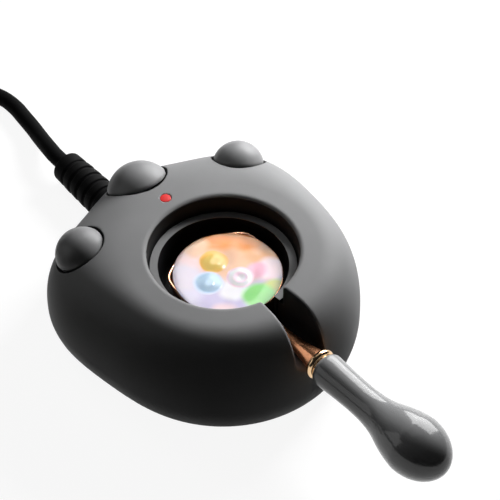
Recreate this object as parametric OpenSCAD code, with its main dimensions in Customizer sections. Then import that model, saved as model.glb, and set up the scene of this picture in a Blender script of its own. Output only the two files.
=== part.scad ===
// Paw-shaped electric warmer for sealing wax, with its melting spoon and mains lead.
// Frame: origin on the table under the well's axis, +Z up, spoon handle along -Y, toes and lead along +Y.

/* [Housing] */
// Outline radius of the round pad
pad_r = 50; // [48:0.5:55]
// How far the middle toe's lobe stands out past the pad
mid_lobe = 13; // [11:0.5:15]
// How far each side toe's lobe stands out past the pad
side_lobe = 15.5; // [13.5:0.5:17]
// Angular spread of the middle lobe, in degrees
mid_spread = 22; // [19:1:25]
// Angular spread of the side lobes, in degrees
side_spread = 30; // [27:1:33]
// Angle between neighbouring toes, in degrees
toe_pitch = 45; // [43:1:50]
// Height of the crown above the table
crown_z = 42; // [40:0.5:48]
// Radius at which the crown starts to round over into the shoulder
crown_r = 34; // [32:0.5:36]
// Height at which the housing is widest
wide_z = 11; // [9:0.5:14]
// How squarely the shoulder turns, 2 is an ellipse
shoulder_power = 2.4; // [2:0.1:2.8]
// How far the wall leans in between its widest height and its lower edge
tuck = 2; // [1:0.5:3]
// Thickness of the housing's wall
wall = 2.2; // [1.8:0.1:2.6]

/* [Base] */
// Thickness of the base plate
base_t = 2.4; // [2:0.1:3]
// How far the foot ring stands below the base plate
foot_h = 1.6; // [1:0.1:2.4]
// How deep the foot ring is let into the base plate
foot_seat = 1; // [0.6:0.1:1.2]
// Width of the foot ring
foot_w = 3; // [2.5:0.25:3.5]
// Radius of the base screws' shanks
screw_r = 1.45; // [1.2:0.05:1.6]

/* [Well and heater] */
// Radius of the well's mouth
well_r = 27; // [26:0.25:28]
// Rounding of the mouth's edge
mouth_round = 2; // [1:0.25:2.5]
// Depth from the crown down to the heating cup's flange
mouth_depth = 7.5; // [6:0.5:9]
// Inner radius of the heating cup
cup_r = 23.6; // [23:0.1:24]
// Depth of the heating cup below its flange's top
cup_depth = 15; // [13.5:0.5:16]
// Wall thickness of the heating cup
cup_t = 1.2; // [0.8:0.1:1.4]
// Thickness of the heating cup's floor
cup_floor_t = 2; // [1.5:0.1:2.5]
// Radius of the heater plate
heater_r = 17; // [15:0.5:17.5]
// Thickness of the heater plate
heater_t = 2.2; // [1.6:0.1:2.6]

/* [Spoon slot] */
// Width of the slot beside the well
slot_w = 8.8; // [8.2:0.1:9.4]
// How much wider the slot is outside than beside the well
slot_flare = 1.5; // [1.3:0.05:1.6]
// Depth of the slot below the spoon's axis
slot_below = 4.9; // [4.5:0.1:5.4]

/* [Toes] */
// Distance of the toes from the well's axis
toe_dist = 53; // [52:0.5:54.5]
// Radius of the two side toes
side_toe_r = 9.6; // [8.8:0.1:10]
// Radius of the middle toe, which is the power button
mid_toe_r = 11.5; // [10.5:0.1:12]
// Height of the side toes' domes
side_toe_h = 7.25; // [6:0.25:8]
// Height of the middle toe's dome
mid_toe_h = 7; // [6:0.25:8]
// Travel of the power button
button_travel = 1.8; // [1:0.1:2]
// Gap round each toe in its recess
toe_gap = 0.5; // [0.4:0.05:0.6]

/* [Spoon] */
// Outer radius of the bowl
bowl_r = 20.3; // [19.5:0.1:20.6]
// Height of the bowl
bowl_h = 12; // [11:0.25:12.5]
// Thickness of the bowl's wall
bowl_t = 1.2; // [0.9:0.1:1.5]
// How far the spoon's axis lies below the bowl's rim, in the middle of the bowl
axis_drop = 6.2; // [5.8:0.1:6.6]
// Angle at which the spoon's axis rises towards the handle's end, in degrees
spoon_tilt = 3; // [2:0.25:4]
// How far the pouring lips stand out past the bowl
lip_out = 1.5; // [1.2:0.1:2]
// Angle by which the pouring lips are turned from the bowl's sides towards its far edge, in degrees
lip_turn = 34; // [0:1:40]
// Radius of the neck at the bowl
neck_r = 2; // [1.9:0.1:2.4]
// Radius of the neck's flared end at the collar
neck_end_r = 4.2; // [3.8:0.1:4.4]
// How far the spoon sits towards the slot
spoon_shift = 2.3; // [1:0.1:2.4]
// Distance from the bowl's axis to the collar
collar_y = 49.2; // [49:0.1:55]
// Radius of the collar
collar_r = 5.8; // [5.6:0.1:6.2]
// Thickness of the collar
collar_t = 3.2; // [2.6:0.1:3.6]
// Length of the handle
handle_len = 59; // [53:0.5:65]
// Radius of the handle where it meets the collar
handle_r = 6.3; // [6:0.1:6.6]
// Radius of the handle's bulb
bulb_r = 10.7; // [9.7:0.1:11.7]
// Depth of the wax below the bowl's rim
wax_drop = 0.4; // [0.4:0.1:2]

/* [Lead] */
// Diameter of the lead
lead_d = 6.8; // [6.2:0.1:7]
// Height of the lead's strain relief above the table
relief_z = 8; // [7.9:0.1:8.6]
// Largest radius of the strain relief
relief_r = 7.7; // [7.3:0.1:7.8]
// Length of the strain relief outside the housing
relief_len = 37; // [33:0.5:39]
// Number of ribs on the strain relief
rib_count = 6; // [5:1:7]
// Turns in the coil that the spare lead is wound into
coil_turns = 4.25; // [3.25:1:5.25]

/* [Hidden] */

$fn = 64;
cut = 1;

// Clearances
fit = 0.1;
seat_gap = 0.3;

// Colours
shell_colour = "#2a2b2d";
toe_colour = "#333437";
black_plastic = "#151516";
rubber_colour = "#1c1c1d";
steel_colour = "#a9abad";
cup_colour = "#1d1d1f";
alu_colour = "#c3c5c8";
copper_colour = "#b9784c";
gold_colour = "#d8aa6c";
handle_colour = "#6f7174";
wax_colour = "#f3c6c8";
board_colour = "#2f5a3a";
brass_colour = "#c9a44c";

// Heights, from the table up
edge_z = foot_h;
base_top = edge_z + base_t;
flange_z = crown_z - mouth_depth;
cup_floor_z = flange_z - cup_depth;
cup_bottom = cup_floor_z - cup_floor_t;
heater_z = cup_bottom - heater_t;
clamp_t = 1.2;
clamp_z = heater_z - clamp_t;
shield_t = 0.6;
shield_z = base_top + 1.5;
spoon_axis_z = cup_floor_z + bowl_h - axis_drop;

// Shared sections of the housing
flange_t = 1.5;
ledge_z = flange_z - flange_t;
ledge_t = 2;
cup_out_r = cup_r + cup_t;
cup_hole_r = cup_out_r + 0.2;
slot_start = cup_r - 4;
section_steps = 72;
foot_inset = wall + 1.2;
screw_dist = pad_r - tuck - foot_inset - foot_w - 2 * screw_r - 0.6;
boss_r = 3.4;
boss_angles = [80, 140, -140, -80];
screw_len = 12;
head_t = 1.2;
small_screw_r = 1.25;
small_head_r = 2.4;
clamp_dist = 20.3;
shield_post_dist = 20.5;

// Toe recesses, measured from the surface along each toe's axis
side_recess = 3;
mid_recess = 4.6;
skirt_drop = 1.3;
peg_r = 2.5;
stem_r = 3;
stem_len = 9;
clip_t = 0.8;
clip_r = 5;
switch_drop = 12;
switch_h = 7;
switch_w = 12;
board_t = 1.6;
board_size = [26, 14];
board_post_x = 10;
board_post_r = 2.4;
board_screw_r = 0.95;
board_screw_len = 8;
plunger_r = 2;

// Indicator beside the power button
lens_y = 33.8;
lens_r = 1.95;
lens_flange_r = 2.55;
lens_skin = 1.5;
lamp_len = 7;

// Strain relief
relief_neck_r = 4.5;
relief_back_r = outline_r(0) + 0.2;
relief_seat = relief_back_r - 1.6 * wall;
relief_tip_r = 6.7;
relief_nose = 7;
rib_gap = 1.4;
rib_depth = 1;
flange_in_r = 5.4;
flange_in_t = 1.8;
lead_r = lead_d / 2;

// Spare lead: one run from the relief to the coil, then the coil and the plug
coil_centre = [-78, 150];
coil_out_r = 45;
coil_pitch = lead_d + 0.75;
coil_layer = lead_d + 0.75;
coil_steps = 24;
tie_t = 0.6;
coil_z = lead_r + tie_t + seat_gap;
relief_end = relief_back_r + relief_len;
run_points = [
    [0, relief_end, relief_z], [0, relief_end + lead_d, relief_z],
    [0.7, 115, 7.4], [1.9, 121, 6.1], [3.3, 127.5, 4.7], [4.6, 134, 3.8], [5.6, 142, 3.4], [6.3, 150, 3.4],
    [5.6, 158, 3.4], [2.4, 166, 3.4], [-3.4, 173.5, 3.4], [-11.5, 180, 3.4], [-21, 185, 3.4],
    [-31.5, 189.2, 3.5], [-43, 192.6, 3.8], [-54, 194.4, 4.1],
    [-63, coil_centre.y + coil_out_r, coil_z], [coil_centre.x + lead_d, coil_centre.y + coil_out_r, coil_z]
];
plug_size = [22, 17, 20];
plug_relief_len = 14;
blade_size = [1.5, 6.3, 17];
blade_gap = 12.7;
plug_z = plug_size.y / 2 + seat_gap;

// Small shared helpers
function wrap(a) = a - 360 * round(a / 360);
function bump(d, spread) = exp(-pow(wrap(d) / spread, 2));
function mean(points) = [for (k = [0:2]) sum([for (p = points) p[k]]) / len(points)];
function sum(list, i = 0) = i < len(list) ? list[i] + sum(list, i + 1) : 0;
function unit(v) = v / norm(v);
function arc(c, r, from, to, n = 6) =
    [for (i = [0:n]) let (a = from + (to - from) * i / n) [c.x + r * cos(a), c.y + r * sin(a)]];
function bezier(p, t) =
    pow(1 - t, 3) * p[0] + 3 * t * pow(1 - t, 2) * p[1] + 3 * t * t * (1 - t) * p[2] + pow(t, 3) * p[3];
function smooth_step(t) = let (c = max(0, min(1, t))) c * c * (3 - 2 * c);

// A smooth curve through hand-placed points, with a number of steps between neighbours
function spline_point(p, i, t) =
    let (n = len(p) - 1, a = p[max(0, i - 1)], b = p[i], c = p[i + 1], d = p[min(n, i + 2)])
    0.5 * (2 * b + (c - a) * t + (2 * a - 5 * b + 4 * c - d) * t * t + (3 * b - a - 3 * c + d) * t * t * t);
function spline(p, steps) =
    concat([for (i = [0:len(p) - 2], k = [0:steps - 1]) spline_point(p, i, k / steps)], [p[len(p) - 1]]);

// Rings of a round tube along a path; up must not lie along the path
function path_dir(p, i) = unit(p[min(i + 1, len(p) - 1)] - p[max(i - 1, 0)]);
function tube_rings(path, r, sides, up = [0, 0, 1]) = [
    for (i = [0:len(path) - 1])
        let (t = path_dir(path, i), e = unit(cross(up, t)), f = cross(t, e))
        [for (k = [0:sides - 1]) path[i] + r * (cos(360 * k / sides) * e + sin(360 * k / sides) * f)]
];

// A closed skin over a stack of rings that all have as many points
module loft(rings) {
    n = len(rings[0]);
    m = len(rings);
    points = concat([for (ring = rings) each ring], [mean(rings[0]), mean(rings[m - 1])]);
    sides = [
        for (k = [0:m - 2], i = [0:n - 1])
            let (j = (i + 1) % n, a = k * n, b = a + n)
            each [[a + i, b + i, b + j], [a + i, b + j, a + j]]
    ];
    caps = [
        for (i = [0:n - 1])
            let (j = (i + 1) % n, top = (m - 1) * n)
            each [[m * n, i, j], [m * n + 1, top + j, top + i]]
    ];
    polyhedron(points, concat(sides, caps), convexity = 8);
}

// The paw's outline and the section of its wall; angles are measured from +Y towards -X
function outline_r(a) = pad_r + mid_lobe * bump(a, mid_spread)
    + side_lobe * (bump(a - toe_pitch, side_spread) + bump(a + toe_pitch, side_spread));
function at_angle(a, r, z) = [-r * sin(a), r * cos(a), z];
function lean(z) = tuck * pow(1 - max(0, min(1, (z - edge_z) / (wide_z - edge_z))), 2);
function shoulder(r_out, r_in, top, s) = [
    r_in + (r_out - r_in) * pow(cos(s), 2 / shoulder_power),
    wide_z + (top - wide_z) * pow(sin(s), 2 / shoulder_power)
];
function crown_fall(a, r) = (r - crown_r) / (outline_r(a) - crown_r);
function surface_z(a, r) =
    wide_z + (crown_z - wide_z) * pow(1 - pow(crown_fall(a, r), shoulder_power), 1 / shoulder_power);
function surface_tilt(a, r) =
    let (x = crown_fall(a, r), y = (surface_z(a, r) - wide_z) / (crown_z - wide_z))
    atan((crown_z - wide_z) / (outline_r(a) - crown_r) * pow(x / y, shoulder_power - 1));

// The housing's solid form, shrunk all round by inset, from its lower edge to its crown
module housing_form(inset, low_z, steps, side_levels, shoulder_levels) {
    angles = [for (i = [0:steps - 1]) 360 * i / steps];
    side_z = [for (k = [0:side_levels - 1]) low_z + (wide_z - low_z) * k / side_levels];
    side = [for (z = side_z) [for (a = angles) at_angle(a, outline_r(a) - inset - lean(z), z)]];
    round_over = [
        for (k = [0:shoulder_levels])
            let (s = 90 * k / shoulder_levels)
            [for (a = angles)
                let (p = shoulder(outline_r(a) - inset, crown_r, crown_z - inset, s)) at_angle(a, p[0], p[1])]
    ];
    loft(concat(side, round_over));
}

// A flat outline of the paw, inset from the wall's lower edge
module base_outline(inset) {
    polygon([
        for (i = [0:section_steps - 1])
            let (a = 360 * i / section_steps, r = outline_r(a) - tuck - inset) [-r * sin(a), r * cos(a)]
    ]);
}

// Puts its children on the surface at a toe, with +Z along the toe's own axis
module at_toe(a) {
    rotate([0, 0, a]) translate([0, toe_dist, surface_z(a, toe_dist)])
        rotate([-surface_tilt(a, toe_dist), 0, 0]) children();
}

// Puts its children along the spoon, with +Z towards the handle's end
module along_spoon(y) {
    translate([0, -spoon_shift, spoon_axis_z]) rotate([90 - spoon_tilt, 0, 0]) translate([0, 0, y]) children();
}

// Puts its children along the lead's strain relief, with +Z away from the housing
module along_relief(y) {
    translate([0, y, relief_z]) rotate([-90, 0, 0]) children();
}

// The trough for the spoon's neck, wider all round by grow: a U round the spoon's axis that flares outwards
function axis_z(y) = spoon_axis_z + (y - spoon_shift) * tan(spoon_tilt);
function slot_ring(y, half, below) = concat(
    [for (a = [180:15:360]) [half * cos(a), -y, axis_z(y) + below * sin(a)]],
    [[half, -y, 2 * crown_z], [-half, -y, 2 * crown_z]]
);

module slot_trough(grow) {
    half = slot_w / 2 + grow;
    loft([
        slot_ring(slot_start, half, slot_below + grow),
        slot_ring(pad_r + 6, slot_w / 2 * slot_flare + grow, slot_below + grow)
    ]);
}

module boss_places() {
    for (a = boss_angles) rotate([0, 0, a]) translate([0, screw_dist, 0]) children();
}

module toe_pocket(toe_r, recess) {
    translate([0, 0, -recess - wall]) cylinder(h = crown_z, r = toe_r + toe_gap + wall);
}

module toe_recess(toe_r, recess, hole_r) {
    translate([0, 0, -recess]) cylinder(h = crown_z, r = toe_r + toe_gap);
    translate([0, 0, -recess - wall - cut]) cylinder(h = wall + 2 * cut, r = hole_r);
}

// Walls that stand inside the housing: well, trough, toe pockets, lamp boss, screw bosses, board posts
module inner_walls() {
    translate([0, 0, ledge_z - ledge_t]) cylinder(h = crown_z, r = well_r + wall, $fn = 96);
    slot_trough(wall);
    for (a = [toe_pitch, -toe_pitch]) at_toe(a) toe_pocket(side_toe_r, side_recess);
    at_toe(0) {
        toe_pocket(mid_toe_r, mid_recess);
        for (x = [-board_post_x, board_post_x])
            translate([x, 0, -switch_drop - switch_h]) cylinder(h = crown_z, r = board_post_r);
    }
    translate([0, lens_y, ledge_z - ledge_t]) cylinder(h = crown_z, r = lens_flange_r + fit + 1.4);
    translate([0, 0, base_top]) boss_places() cylinder(h = crown_z, r = boss_r);
}

// The well: a mouth with a rounded edge over the hole for the heating cup
module well_cut() {
    round_z = crown_z - 0.9 * mouth_round;
    rotate_extrude($fn = 96)
        polygon(concat(
            [[0, ledge_z], [well_r, ledge_z]],
            arc([well_r + mouth_round, round_z], mouth_round, 180, 108),
            [[well_r + 0.7 * mouth_round, crown_z + cut], [0, crown_z + cut]]
        ));
    translate([0, 0, base_top]) cylinder(h = crown_z, r = cup_hole_r, $fn = 96);
}

module upper_shell() {
    color(shell_colour) difference() {
        housing_form(0, edge_z, section_steps, 4, 9);
        difference() {
            housing_form(wall, edge_z - cut, 48, 2, 6);
            inner_walls();
        }
        well_cut();
        slot_trough(0);
        for (a = [toe_pitch, -toe_pitch]) at_toe(a) toe_recess(side_toe_r, side_recess, peg_r + fit);
        at_toe(0) {
            toe_recess(mid_toe_r, mid_recess, stem_r + 2 * fit);
            for (x = [-board_post_x, board_post_x]) translate([x, 0, -switch_drop - switch_h - cut])
                cylinder(h = board_screw_len + 2 * cut, r = board_screw_r + 0.05);
        }
        translate([0, lens_y, crown_z - 2 * lens_skin]) cylinder(h = crown_z, r = lens_r + fit);
        translate([0, lens_y, base_top]) cylinder(h = crown_z - lens_skin - base_top, r = lens_flange_r + fit);
        translate([0, 0, base_top - cut]) boss_places() cylinder(h = screw_len + cut, r = screw_r + 0.05);
        along_relief(relief_seat - wall) cylinder(h = 4 * wall, r = relief_neck_r + fit);
        along_relief(relief_seat - 3 * wall) cylinder(h = 3 * wall, r = flange_in_r + seat_gap);
    }
}

module base_plate() {
    color(black_plastic) difference() {
        union() {
            translate([0, 0, edge_z]) linear_extrude(height = base_t) base_outline(wall + seat_gap);
            shield_posts(3, shield_z - base_top);
            shield_posts(1.2, shield_z - base_top + shield_t + 0.8);
        }
        translate([0, 0, edge_z - cut]) linear_extrude(height = foot_seat + cut) difference() {
            base_outline(foot_inset - fit);
            base_outline(foot_inset + foot_w + fit);
        }
        translate([0, 0, edge_z - cut]) boss_places() {
            cylinder(h = 3 * base_t, r = screw_r + 0.25);
            cylinder(h = cut + head_t + 0.2, r = 2 * screw_r + 0.2);
        }
        for (a = [15:30:345]) rotate([0, 0, a]) translate([-1.2, 8, edge_z - cut]) cube([2.4, 9, 2 * base_t]);
        along_relief(relief_seat - 3 * wall) cylinder(h = 6 * wall, r = flange_in_r + seat_gap);
    }
}

module shield_posts(r, h) {
    for (a = [45:90:315]) rotate([0, 0, a]) translate([0, shield_post_dist, base_top - cut]) cylinder(h = h + cut, r = r);
}

module foot_ring() {
    color(rubber_colour) linear_extrude(height = foot_h + foot_seat) difference() {
        base_outline(foot_inset);
        base_outline(foot_inset + foot_w);
    }
}

module base_screws() {
    color(steel_colour) boss_places() {
        translate([0, 0, edge_z + 0.2]) cylinder(h = head_t, r = 2 * screw_r);
        translate([0, 0, edge_z + head_t]) cylinder(h = screw_len, r = screw_r);
    }
}

module clamp_places() {
    for (a = [60, 180, 300]) rotate([0, 0, a]) translate([0, clamp_dist, 0]) children();
}

// The heating cup: a round pan with a flange, open at the slot where the spoon's neck leaves it
module heating_cup() {
    corner = 4;
    outer_corner = corner + 0.6 * cup_t;
    profile = concat(
        [[0, cup_bottom], [cup_out_r - outer_corner, cup_bottom]],
        arc([cup_out_r - outer_corner, cup_bottom + outer_corner], outer_corner, -90, 0),
        [[cup_out_r, ledge_z], [well_r - 0.6, ledge_z], [well_r - 0.6, flange_z], [cup_r, flange_z]],
        arc([cup_r - corner, cup_floor_z + corner], corner, 0, -90),
        [[0, cup_floor_z]]
    );
    color(cup_colour) difference() {
        union() {
            rotate_extrude($fn = 96) polygon(profile);
            translate([0, 0, heater_z]) clamp_places() cylinder(h = heater_t + cut, r = small_head_r);
        }
        slot_trough(-0.4);
        translate([0, 0, heater_z - cut]) clamp_places()
            cylinder(h = heater_t + 2 * cut, r = small_screw_r + 0.05);
    }
}

module cup_retaining_ring() {
    color(steel_colour) translate([0, 0, ledge_z - ledge_t - 0.8]) difference() {
        cylinder(h = 0.8, r = well_r + 0.5, $fn = 96);
        translate([0, 0, -cut]) cylinder(h = 0.8 + 2 * cut, r = cup_out_r + 0.05, $fn = 96);
        rotate([0, 0, 180]) translate([-slot_w / 2 - wall - 2, 0, -cut])
            cube([slot_w + 2 * wall + 4, 2 * well_r, 4]);
    }
}

module heater_plate() {
    color("#8a8378") {
        translate([0, 0, heater_z]) cylinder(h = heater_t, r = heater_r);
    }
    color(brass_colour) for (x = [-7, 3])
        translate([x, heater_r - 2, heater_z + 0.4]) cube([4, 12, 0.8]);
}

module heater_clamp() {
    color(alu_colour) difference() {
        translate([0, 0, clamp_z]) cylinder(h = clamp_t, r = cup_out_r - 1);
        translate([0, 0, clamp_z - cut]) {
            clamp_places() cylinder(h = clamp_t + 2 * cut, r = small_screw_r + 0.25);
            for (x = [-rivet_x, rivet_x]) translate([x, cutout_y, 0]) cylinder(h = clamp_t + 2 * cut, r = 0.9);
        }
    }
}

module clamp_screws() {
    color(steel_colour) clamp_places() {
        translate([0, 0, clamp_z - head_t]) cylinder(h = head_t, r = small_head_r);
        translate([0, 0, clamp_z - 0.2]) cylinder(h = clamp_t + heater_t - 0.2, r = small_screw_r);
    }
}

// The thermal cut-out hangs under the clamp plate in a riveted hat-shaped strap
cutout_size = [14, 7, 3];
cutout_y = -6;
strap_w = 6;
strap_t = 0.6;
strap_ear = 5.4;
rivet_x = cutout_size.x / 2 + strap_t + 2.6;

module thermal_cutout() {
    color("#3a3a3c") translate([-cutout_size.x / 2, cutout_y - cutout_size.y / 2, clamp_z - cutout_size.z])
        cube(cutout_size);
}

module cutout_bracket() {
    inner = cutout_size.x / 2 + fit;
    low = clamp_z - cutout_size.z - strap_t;
    color(steel_colour) translate([0, cutout_y - strap_w / 2, 0]) difference() {
        union() {
            translate([-inner - strap_t, 0, low]) cube([2 * (inner + strap_t), strap_w, strap_t]);
            for (x = [-inner - strap_t, inner]) translate([x, 0, low]) cube([strap_t, strap_w, clamp_z - low]);
            for (x = [-inner - strap_ear, inner]) translate([x, 0, clamp_z - strap_t])
                cube([strap_ear, strap_w, strap_t]);
        }
        for (x = [-rivet_x, rivet_x]) translate([x, strap_w / 2, low]) cylinder(h = 9, r = 0.9);
    }
}

module bracket_rivets() {
    color(steel_colour) for (x = [-rivet_x, rivet_x]) translate([x, cutout_y, clamp_z - strap_t - 0.6]) {
        cylinder(h = 0.6, r = 1.5);
        cylinder(h = 0.6 + strap_t + clamp_t, r = 0.85);
    }
}

module heat_shield() {
    color(alu_colour) difference() {
        translate([0, 0, shield_z]) cylinder(h = shield_t, r = cup_out_r);
        translate([0, 0, shield_z - base_top - cut]) shield_posts(1.3, 4);
    }
}

// A toe: a domed cap on a short skirt, with a peg or stem under it
module toe_dome(toe_r, dome_h, skirt_low) {
    ball_r = (toe_r * toe_r + dome_h * dome_h) / (2 * dome_h);
    translate([0, 0, skirt_low]) cylinder(h = -skirt_drop - skirt_low + 0.2, r = toe_r - 0.05);
    intersection() {
        translate([0, 0, dome_h - skirt_drop - ball_r]) sphere(r = ball_r);
        translate([0, 0, -skirt_drop]) cylinder(h = dome_h + cut, r = toe_r + cut);
    }
}

module side_toe() {
    color(toe_colour) {
        toe_dome(side_toe_r, side_toe_h, -side_recess);
        translate([0, 0, -side_recess - wall - clip_t - 1]) cylinder(h = wall + clip_t + 1.5, r = peg_r);
    }
}

module toe_cap_left() {
    at_toe(toe_pitch) side_toe();
}

module toe_cap_right() {
    at_toe(-toe_pitch) side_toe();
}

module push_clip(inner_r, outer_r) {
    difference() {
        cylinder(h = clip_t, r = outer_r);
        translate([0, 0, -cut]) cylinder(h = clip_t + 2 * cut, r = inner_r);
    }
}

module toe_clips() {
    color(steel_colour) for (a = [toe_pitch, -toe_pitch])
        at_toe(a) translate([0, 0, -side_recess - wall - clip_t]) push_clip(peg_r + 0.02, clip_r);
}

// The power button: the middle toe, on a stem that reaches the switch
module power_button() {
    color(toe_colour) at_toe(0) {
        toe_dome(mid_toe_r, mid_toe_h, button_travel + seat_gap - mid_recess);
        translate([0, 0, -stem_len]) cylinder(h = stem_len - skirt_drop, r = stem_r);
    }
}

module button_clip() {
    color(steel_colour) at_toe(0) translate([0, 0, -mid_recess - wall - seat_gap - clip_t])
        push_clip(stem_r + 0.02, clip_r);
}

module switch_plunger() {
    color("#d9d9d6") at_toe(0) translate([0, 0, -switch_drop - 1])
        cylinder(h = switch_drop + 1 - stem_len, r = plunger_r);
}

module push_switch() {
    color("#1b1b1c") at_toe(0) difference() {
        translate([-switch_w / 2, -switch_w / 2, -switch_drop - switch_h]) cube([switch_w, switch_w, switch_h]);
        translate([0, 0, -switch_drop - button_travel - 2]) cylinder(h = switch_h, r = plunger_r + fit);
    }
}

module switch_board() {
    color(board_colour) at_toe(0) difference() {
        translate([-board_size.x / 2, -board_size.y / 2, -switch_drop - switch_h - board_t])
            cube([board_size.x, board_size.y, board_t]);
        for (x = [-board_post_x, board_post_x]) translate([x, 0, -switch_drop - switch_h - board_t - cut])
            cylinder(h = board_t + 2 * cut, r = board_screw_r + 0.25);
    }
}

module board_screws() {
    color(steel_colour) at_toe(0) for (x = [-board_post_x, board_post_x])
        translate([x, 0, -switch_drop - switch_h - board_t]) {
            translate([0, 0, -head_t]) cylinder(h = head_t, r = 2 * board_screw_r);
            translate([0, 0, -0.2]) cylinder(h = board_screw_len, r = board_screw_r);
        }
}

module indicator_lens() {
    color("#e02a2a") translate([0, lens_y, 0]) {
        translate([0, 0, crown_z - lens_skin - 1]) cylinder(h = 1, r = lens_flange_r);
        translate([0, 0, crown_z - lens_skin - 0.5]) cylinder(h = lens_skin + 0.6, r = lens_r);
    }
}

module indicator_lamp() {
    color("#c8362f") translate([0, lens_y, crown_z - lens_skin - 1 - lamp_len]) {
        cylinder(h = lamp_len - fit, r = lens_r);
        cylinder(h = 1.2, r = lens_flange_r);
    }
}

// Strain relief moulded on the lead: a flange inside the wall, a neck in it and a ribbed taper outside
module cord_relief() {
    rib_pitch = (relief_len - relief_nose) / rib_count;
    taper = (relief_r - relief_tip_r) / relief_len;
    ribs = [
        for (i = [0:rib_count - 1])
            let (y = i * rib_pitch, r = relief_r - taper * y)
            each [[r - 0.3, y], [r, y + 0.4], [r - 0.2, y + rib_pitch - rib_gap],
                [r - rib_depth, y + rib_pitch - rib_gap + 0.3], [r - rib_depth, y + rib_pitch - 0.2]]
    ];
    color(black_plastic) {
        along_relief(relief_back_r) rotate_extrude($fn = 48) polygon(concat(
            [[0, 0]], ribs,
            [[relief_tip_r - 0.3, relief_len - relief_nose], [relief_tip_r, relief_len - relief_nose + 0.4],
                [relief_tip_r - 0.2, relief_len - 1.4], [lead_r + 0.6, relief_len], [0, relief_len]]
        ));
        along_relief(relief_seat - cut) cylinder(h = relief_back_r - relief_seat + 2 * cut, r = relief_neck_r);
        along_relief(relief_seat - flange_in_t) cylinder(h = flange_in_t, r = flange_in_r);
    }
}

stub_start = relief_seat - flange_in_t;
stub_len = 11;

module lead_stub() {
    color(black_plastic) along_relief(stub_start - stub_len) cylinder(h = stub_len, r = lead_r);
}

clamp_size = [20, 5, relief_z - base_top + lead_r + 0.9];
clamp_y = stub_start - 8;
lead_screw_x = 7;
lead_screw_r = 1.4;

module lead_clamp() {
    color(black_plastic) difference() {
        translate([-clamp_size.x / 2, clamp_y, base_top]) cube(clamp_size);
        along_relief(clamp_y - cut) cylinder(h = clamp_size.y + 2 * cut, r = lead_r + fit);
        translate([-lead_r - fit, clamp_y - cut, base_top - cut])
            cube([lead_d + 2 * fit, clamp_size.y + 2 * cut, relief_z - base_top + cut]);
        for (x = [-lead_screw_x, lead_screw_x]) translate([x, clamp_y + clamp_size.y / 2, base_top - cut])
            cylinder(h = 2 * clamp_size.z, r = lead_screw_r + fit);
    }
}

module lead_clamp_screws() {
    color(steel_colour) for (x = [-lead_screw_x, lead_screw_x]) translate([x, clamp_y + clamp_size.y / 2, 0]) {
        translate([0, 0, base_top + seat_gap]) cylinder(h = clamp_size.z, r = lead_screw_r);
        translate([0, 0, base_top + clamp_size.z]) cylinder(h = head_t, r = small_head_r);
    }
}

// Inner wires between the lead, the switch board, the cut-out, the heater and the lamp
wire_r = 0.8;
wire_gap = wire_r / 2;
stub_end = stub_start - stub_len;
tab_end = heater_r + 10;
tab_z = heater_z + 0.8;
cutout_z = clamp_z - cutout_size.z / 2;
cutout_face = cutout_y + cutout_size.y / 2 + wire_gap;
lamp_low = crown_z - lens_skin - 1 - lamp_len;
board_top = -switch_drop - switch_h;
board_low = board_top - board_t;
function on_mid_toe(p) =
    let (t = surface_tilt(0, toe_dist))
    [p.x, toe_dist + p.y * cos(t) + p.z * sin(t), surface_z(0, toe_dist) - p.y * sin(t) + p.z * cos(t)];
function under_board(x, y) = [for (d = [4.5, 2.5, wire_gap]) on_mid_toe([x, y, board_low - d])];
function over_board(x, y) = [for (d = [4.5, 2.5, wire_gap]) on_mid_toe([x, y, board_top + d])];
wire_routes = [
    [[-1.5, stub_end - wire_gap, relief_z], [-2.4, stub_end - 2.4, relief_z + 0.6],
        [-3.4, stub_end - 3, relief_z + 3.6], each under_board(-4, 3)],
    [[1.5, stub_end - wire_gap, relief_z], [3.5, stub_end - 4, relief_z], [10, 38, 9], [12, 28, 9.4],
        [9, 14, 9.8], [4, 4, 10.8], [3, cutout_face, cutout_z]],
    [[-5, tab_end + wire_gap, tab_z], [-5, tab_end + 2.4, tab_z], [-5, tab_end + 6, tab_z + 0.8],
        each under_board(-4.5, -3)],
    [[5, tab_end + wire_gap, tab_z], [5, tab_end + 2.2, tab_z - 0.6], [4, tab_end + 2.6, tab_z - 3],
        [1, tab_end - 2, 10.2], [-3, 14, 9.8], [-4, 4, 10.8], [-3, cutout_face, cutout_z]],
    for (x = [-1, 1]) [[x, lens_y, lamp_low - wire_gap], [2 * x, lens_y + 0.3, lamp_low - 4],
        [6 * x, lens_y + 2.5, lamp_low - 6], each over_board(8.5 * x, -5.5)]
];

module lead_wires() {
    color("#7a1f1c") for (route = wire_routes)
        loft(tube_rings(spline(route, 2), wire_r, 6, [0.9, 0.4, 0.1]));
}

module cord_run() {
    color(black_plastic) loft(tube_rings(spline(run_points, 1), lead_r, 8));
}

// The coil spirals in and out again at a steady rate and climbs one layer where the spiral reverses
function coil_point(t) =
    let (half = coil_turns / 2, a = 90 + 360 * t, r = coil_out_r - coil_pitch * (half - abs(t - half)),
        z = coil_z + coil_layer * smooth_step((t - half + 0.25) / 0.5))
    [coil_centre.x + r * cos(a), coil_centre.y + r * sin(a), z];
coil_start = [for (x = [lead_d, 0.5 * lead_d]) [coil_centre.x + x, coil_centre.y + coil_out_r, coil_z]];
coil_winding = [for (i = [0:coil_steps * coil_turns]) coil_point(i / coil_steps)];
coil_last = coil_winding[len(coil_winding) - 1];
coil_tail = [
    for (k = [1:6]) coil_last - [0, k * lead_d, (coil_last.z - plug_z) * smooth_step(k / 5)]
];
plug_at = coil_tail[len(coil_tail) - 1];
coil_path = concat(coil_start, coil_winding, coil_tail);
coil_gap = min([
    for (i = [0:len(coil_path) - 1], j = [0:len(coil_path) - 1])
        if (j > i + coil_steps / 2) norm(coil_path[i] - coil_path[j])
]) - lead_d;

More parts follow.
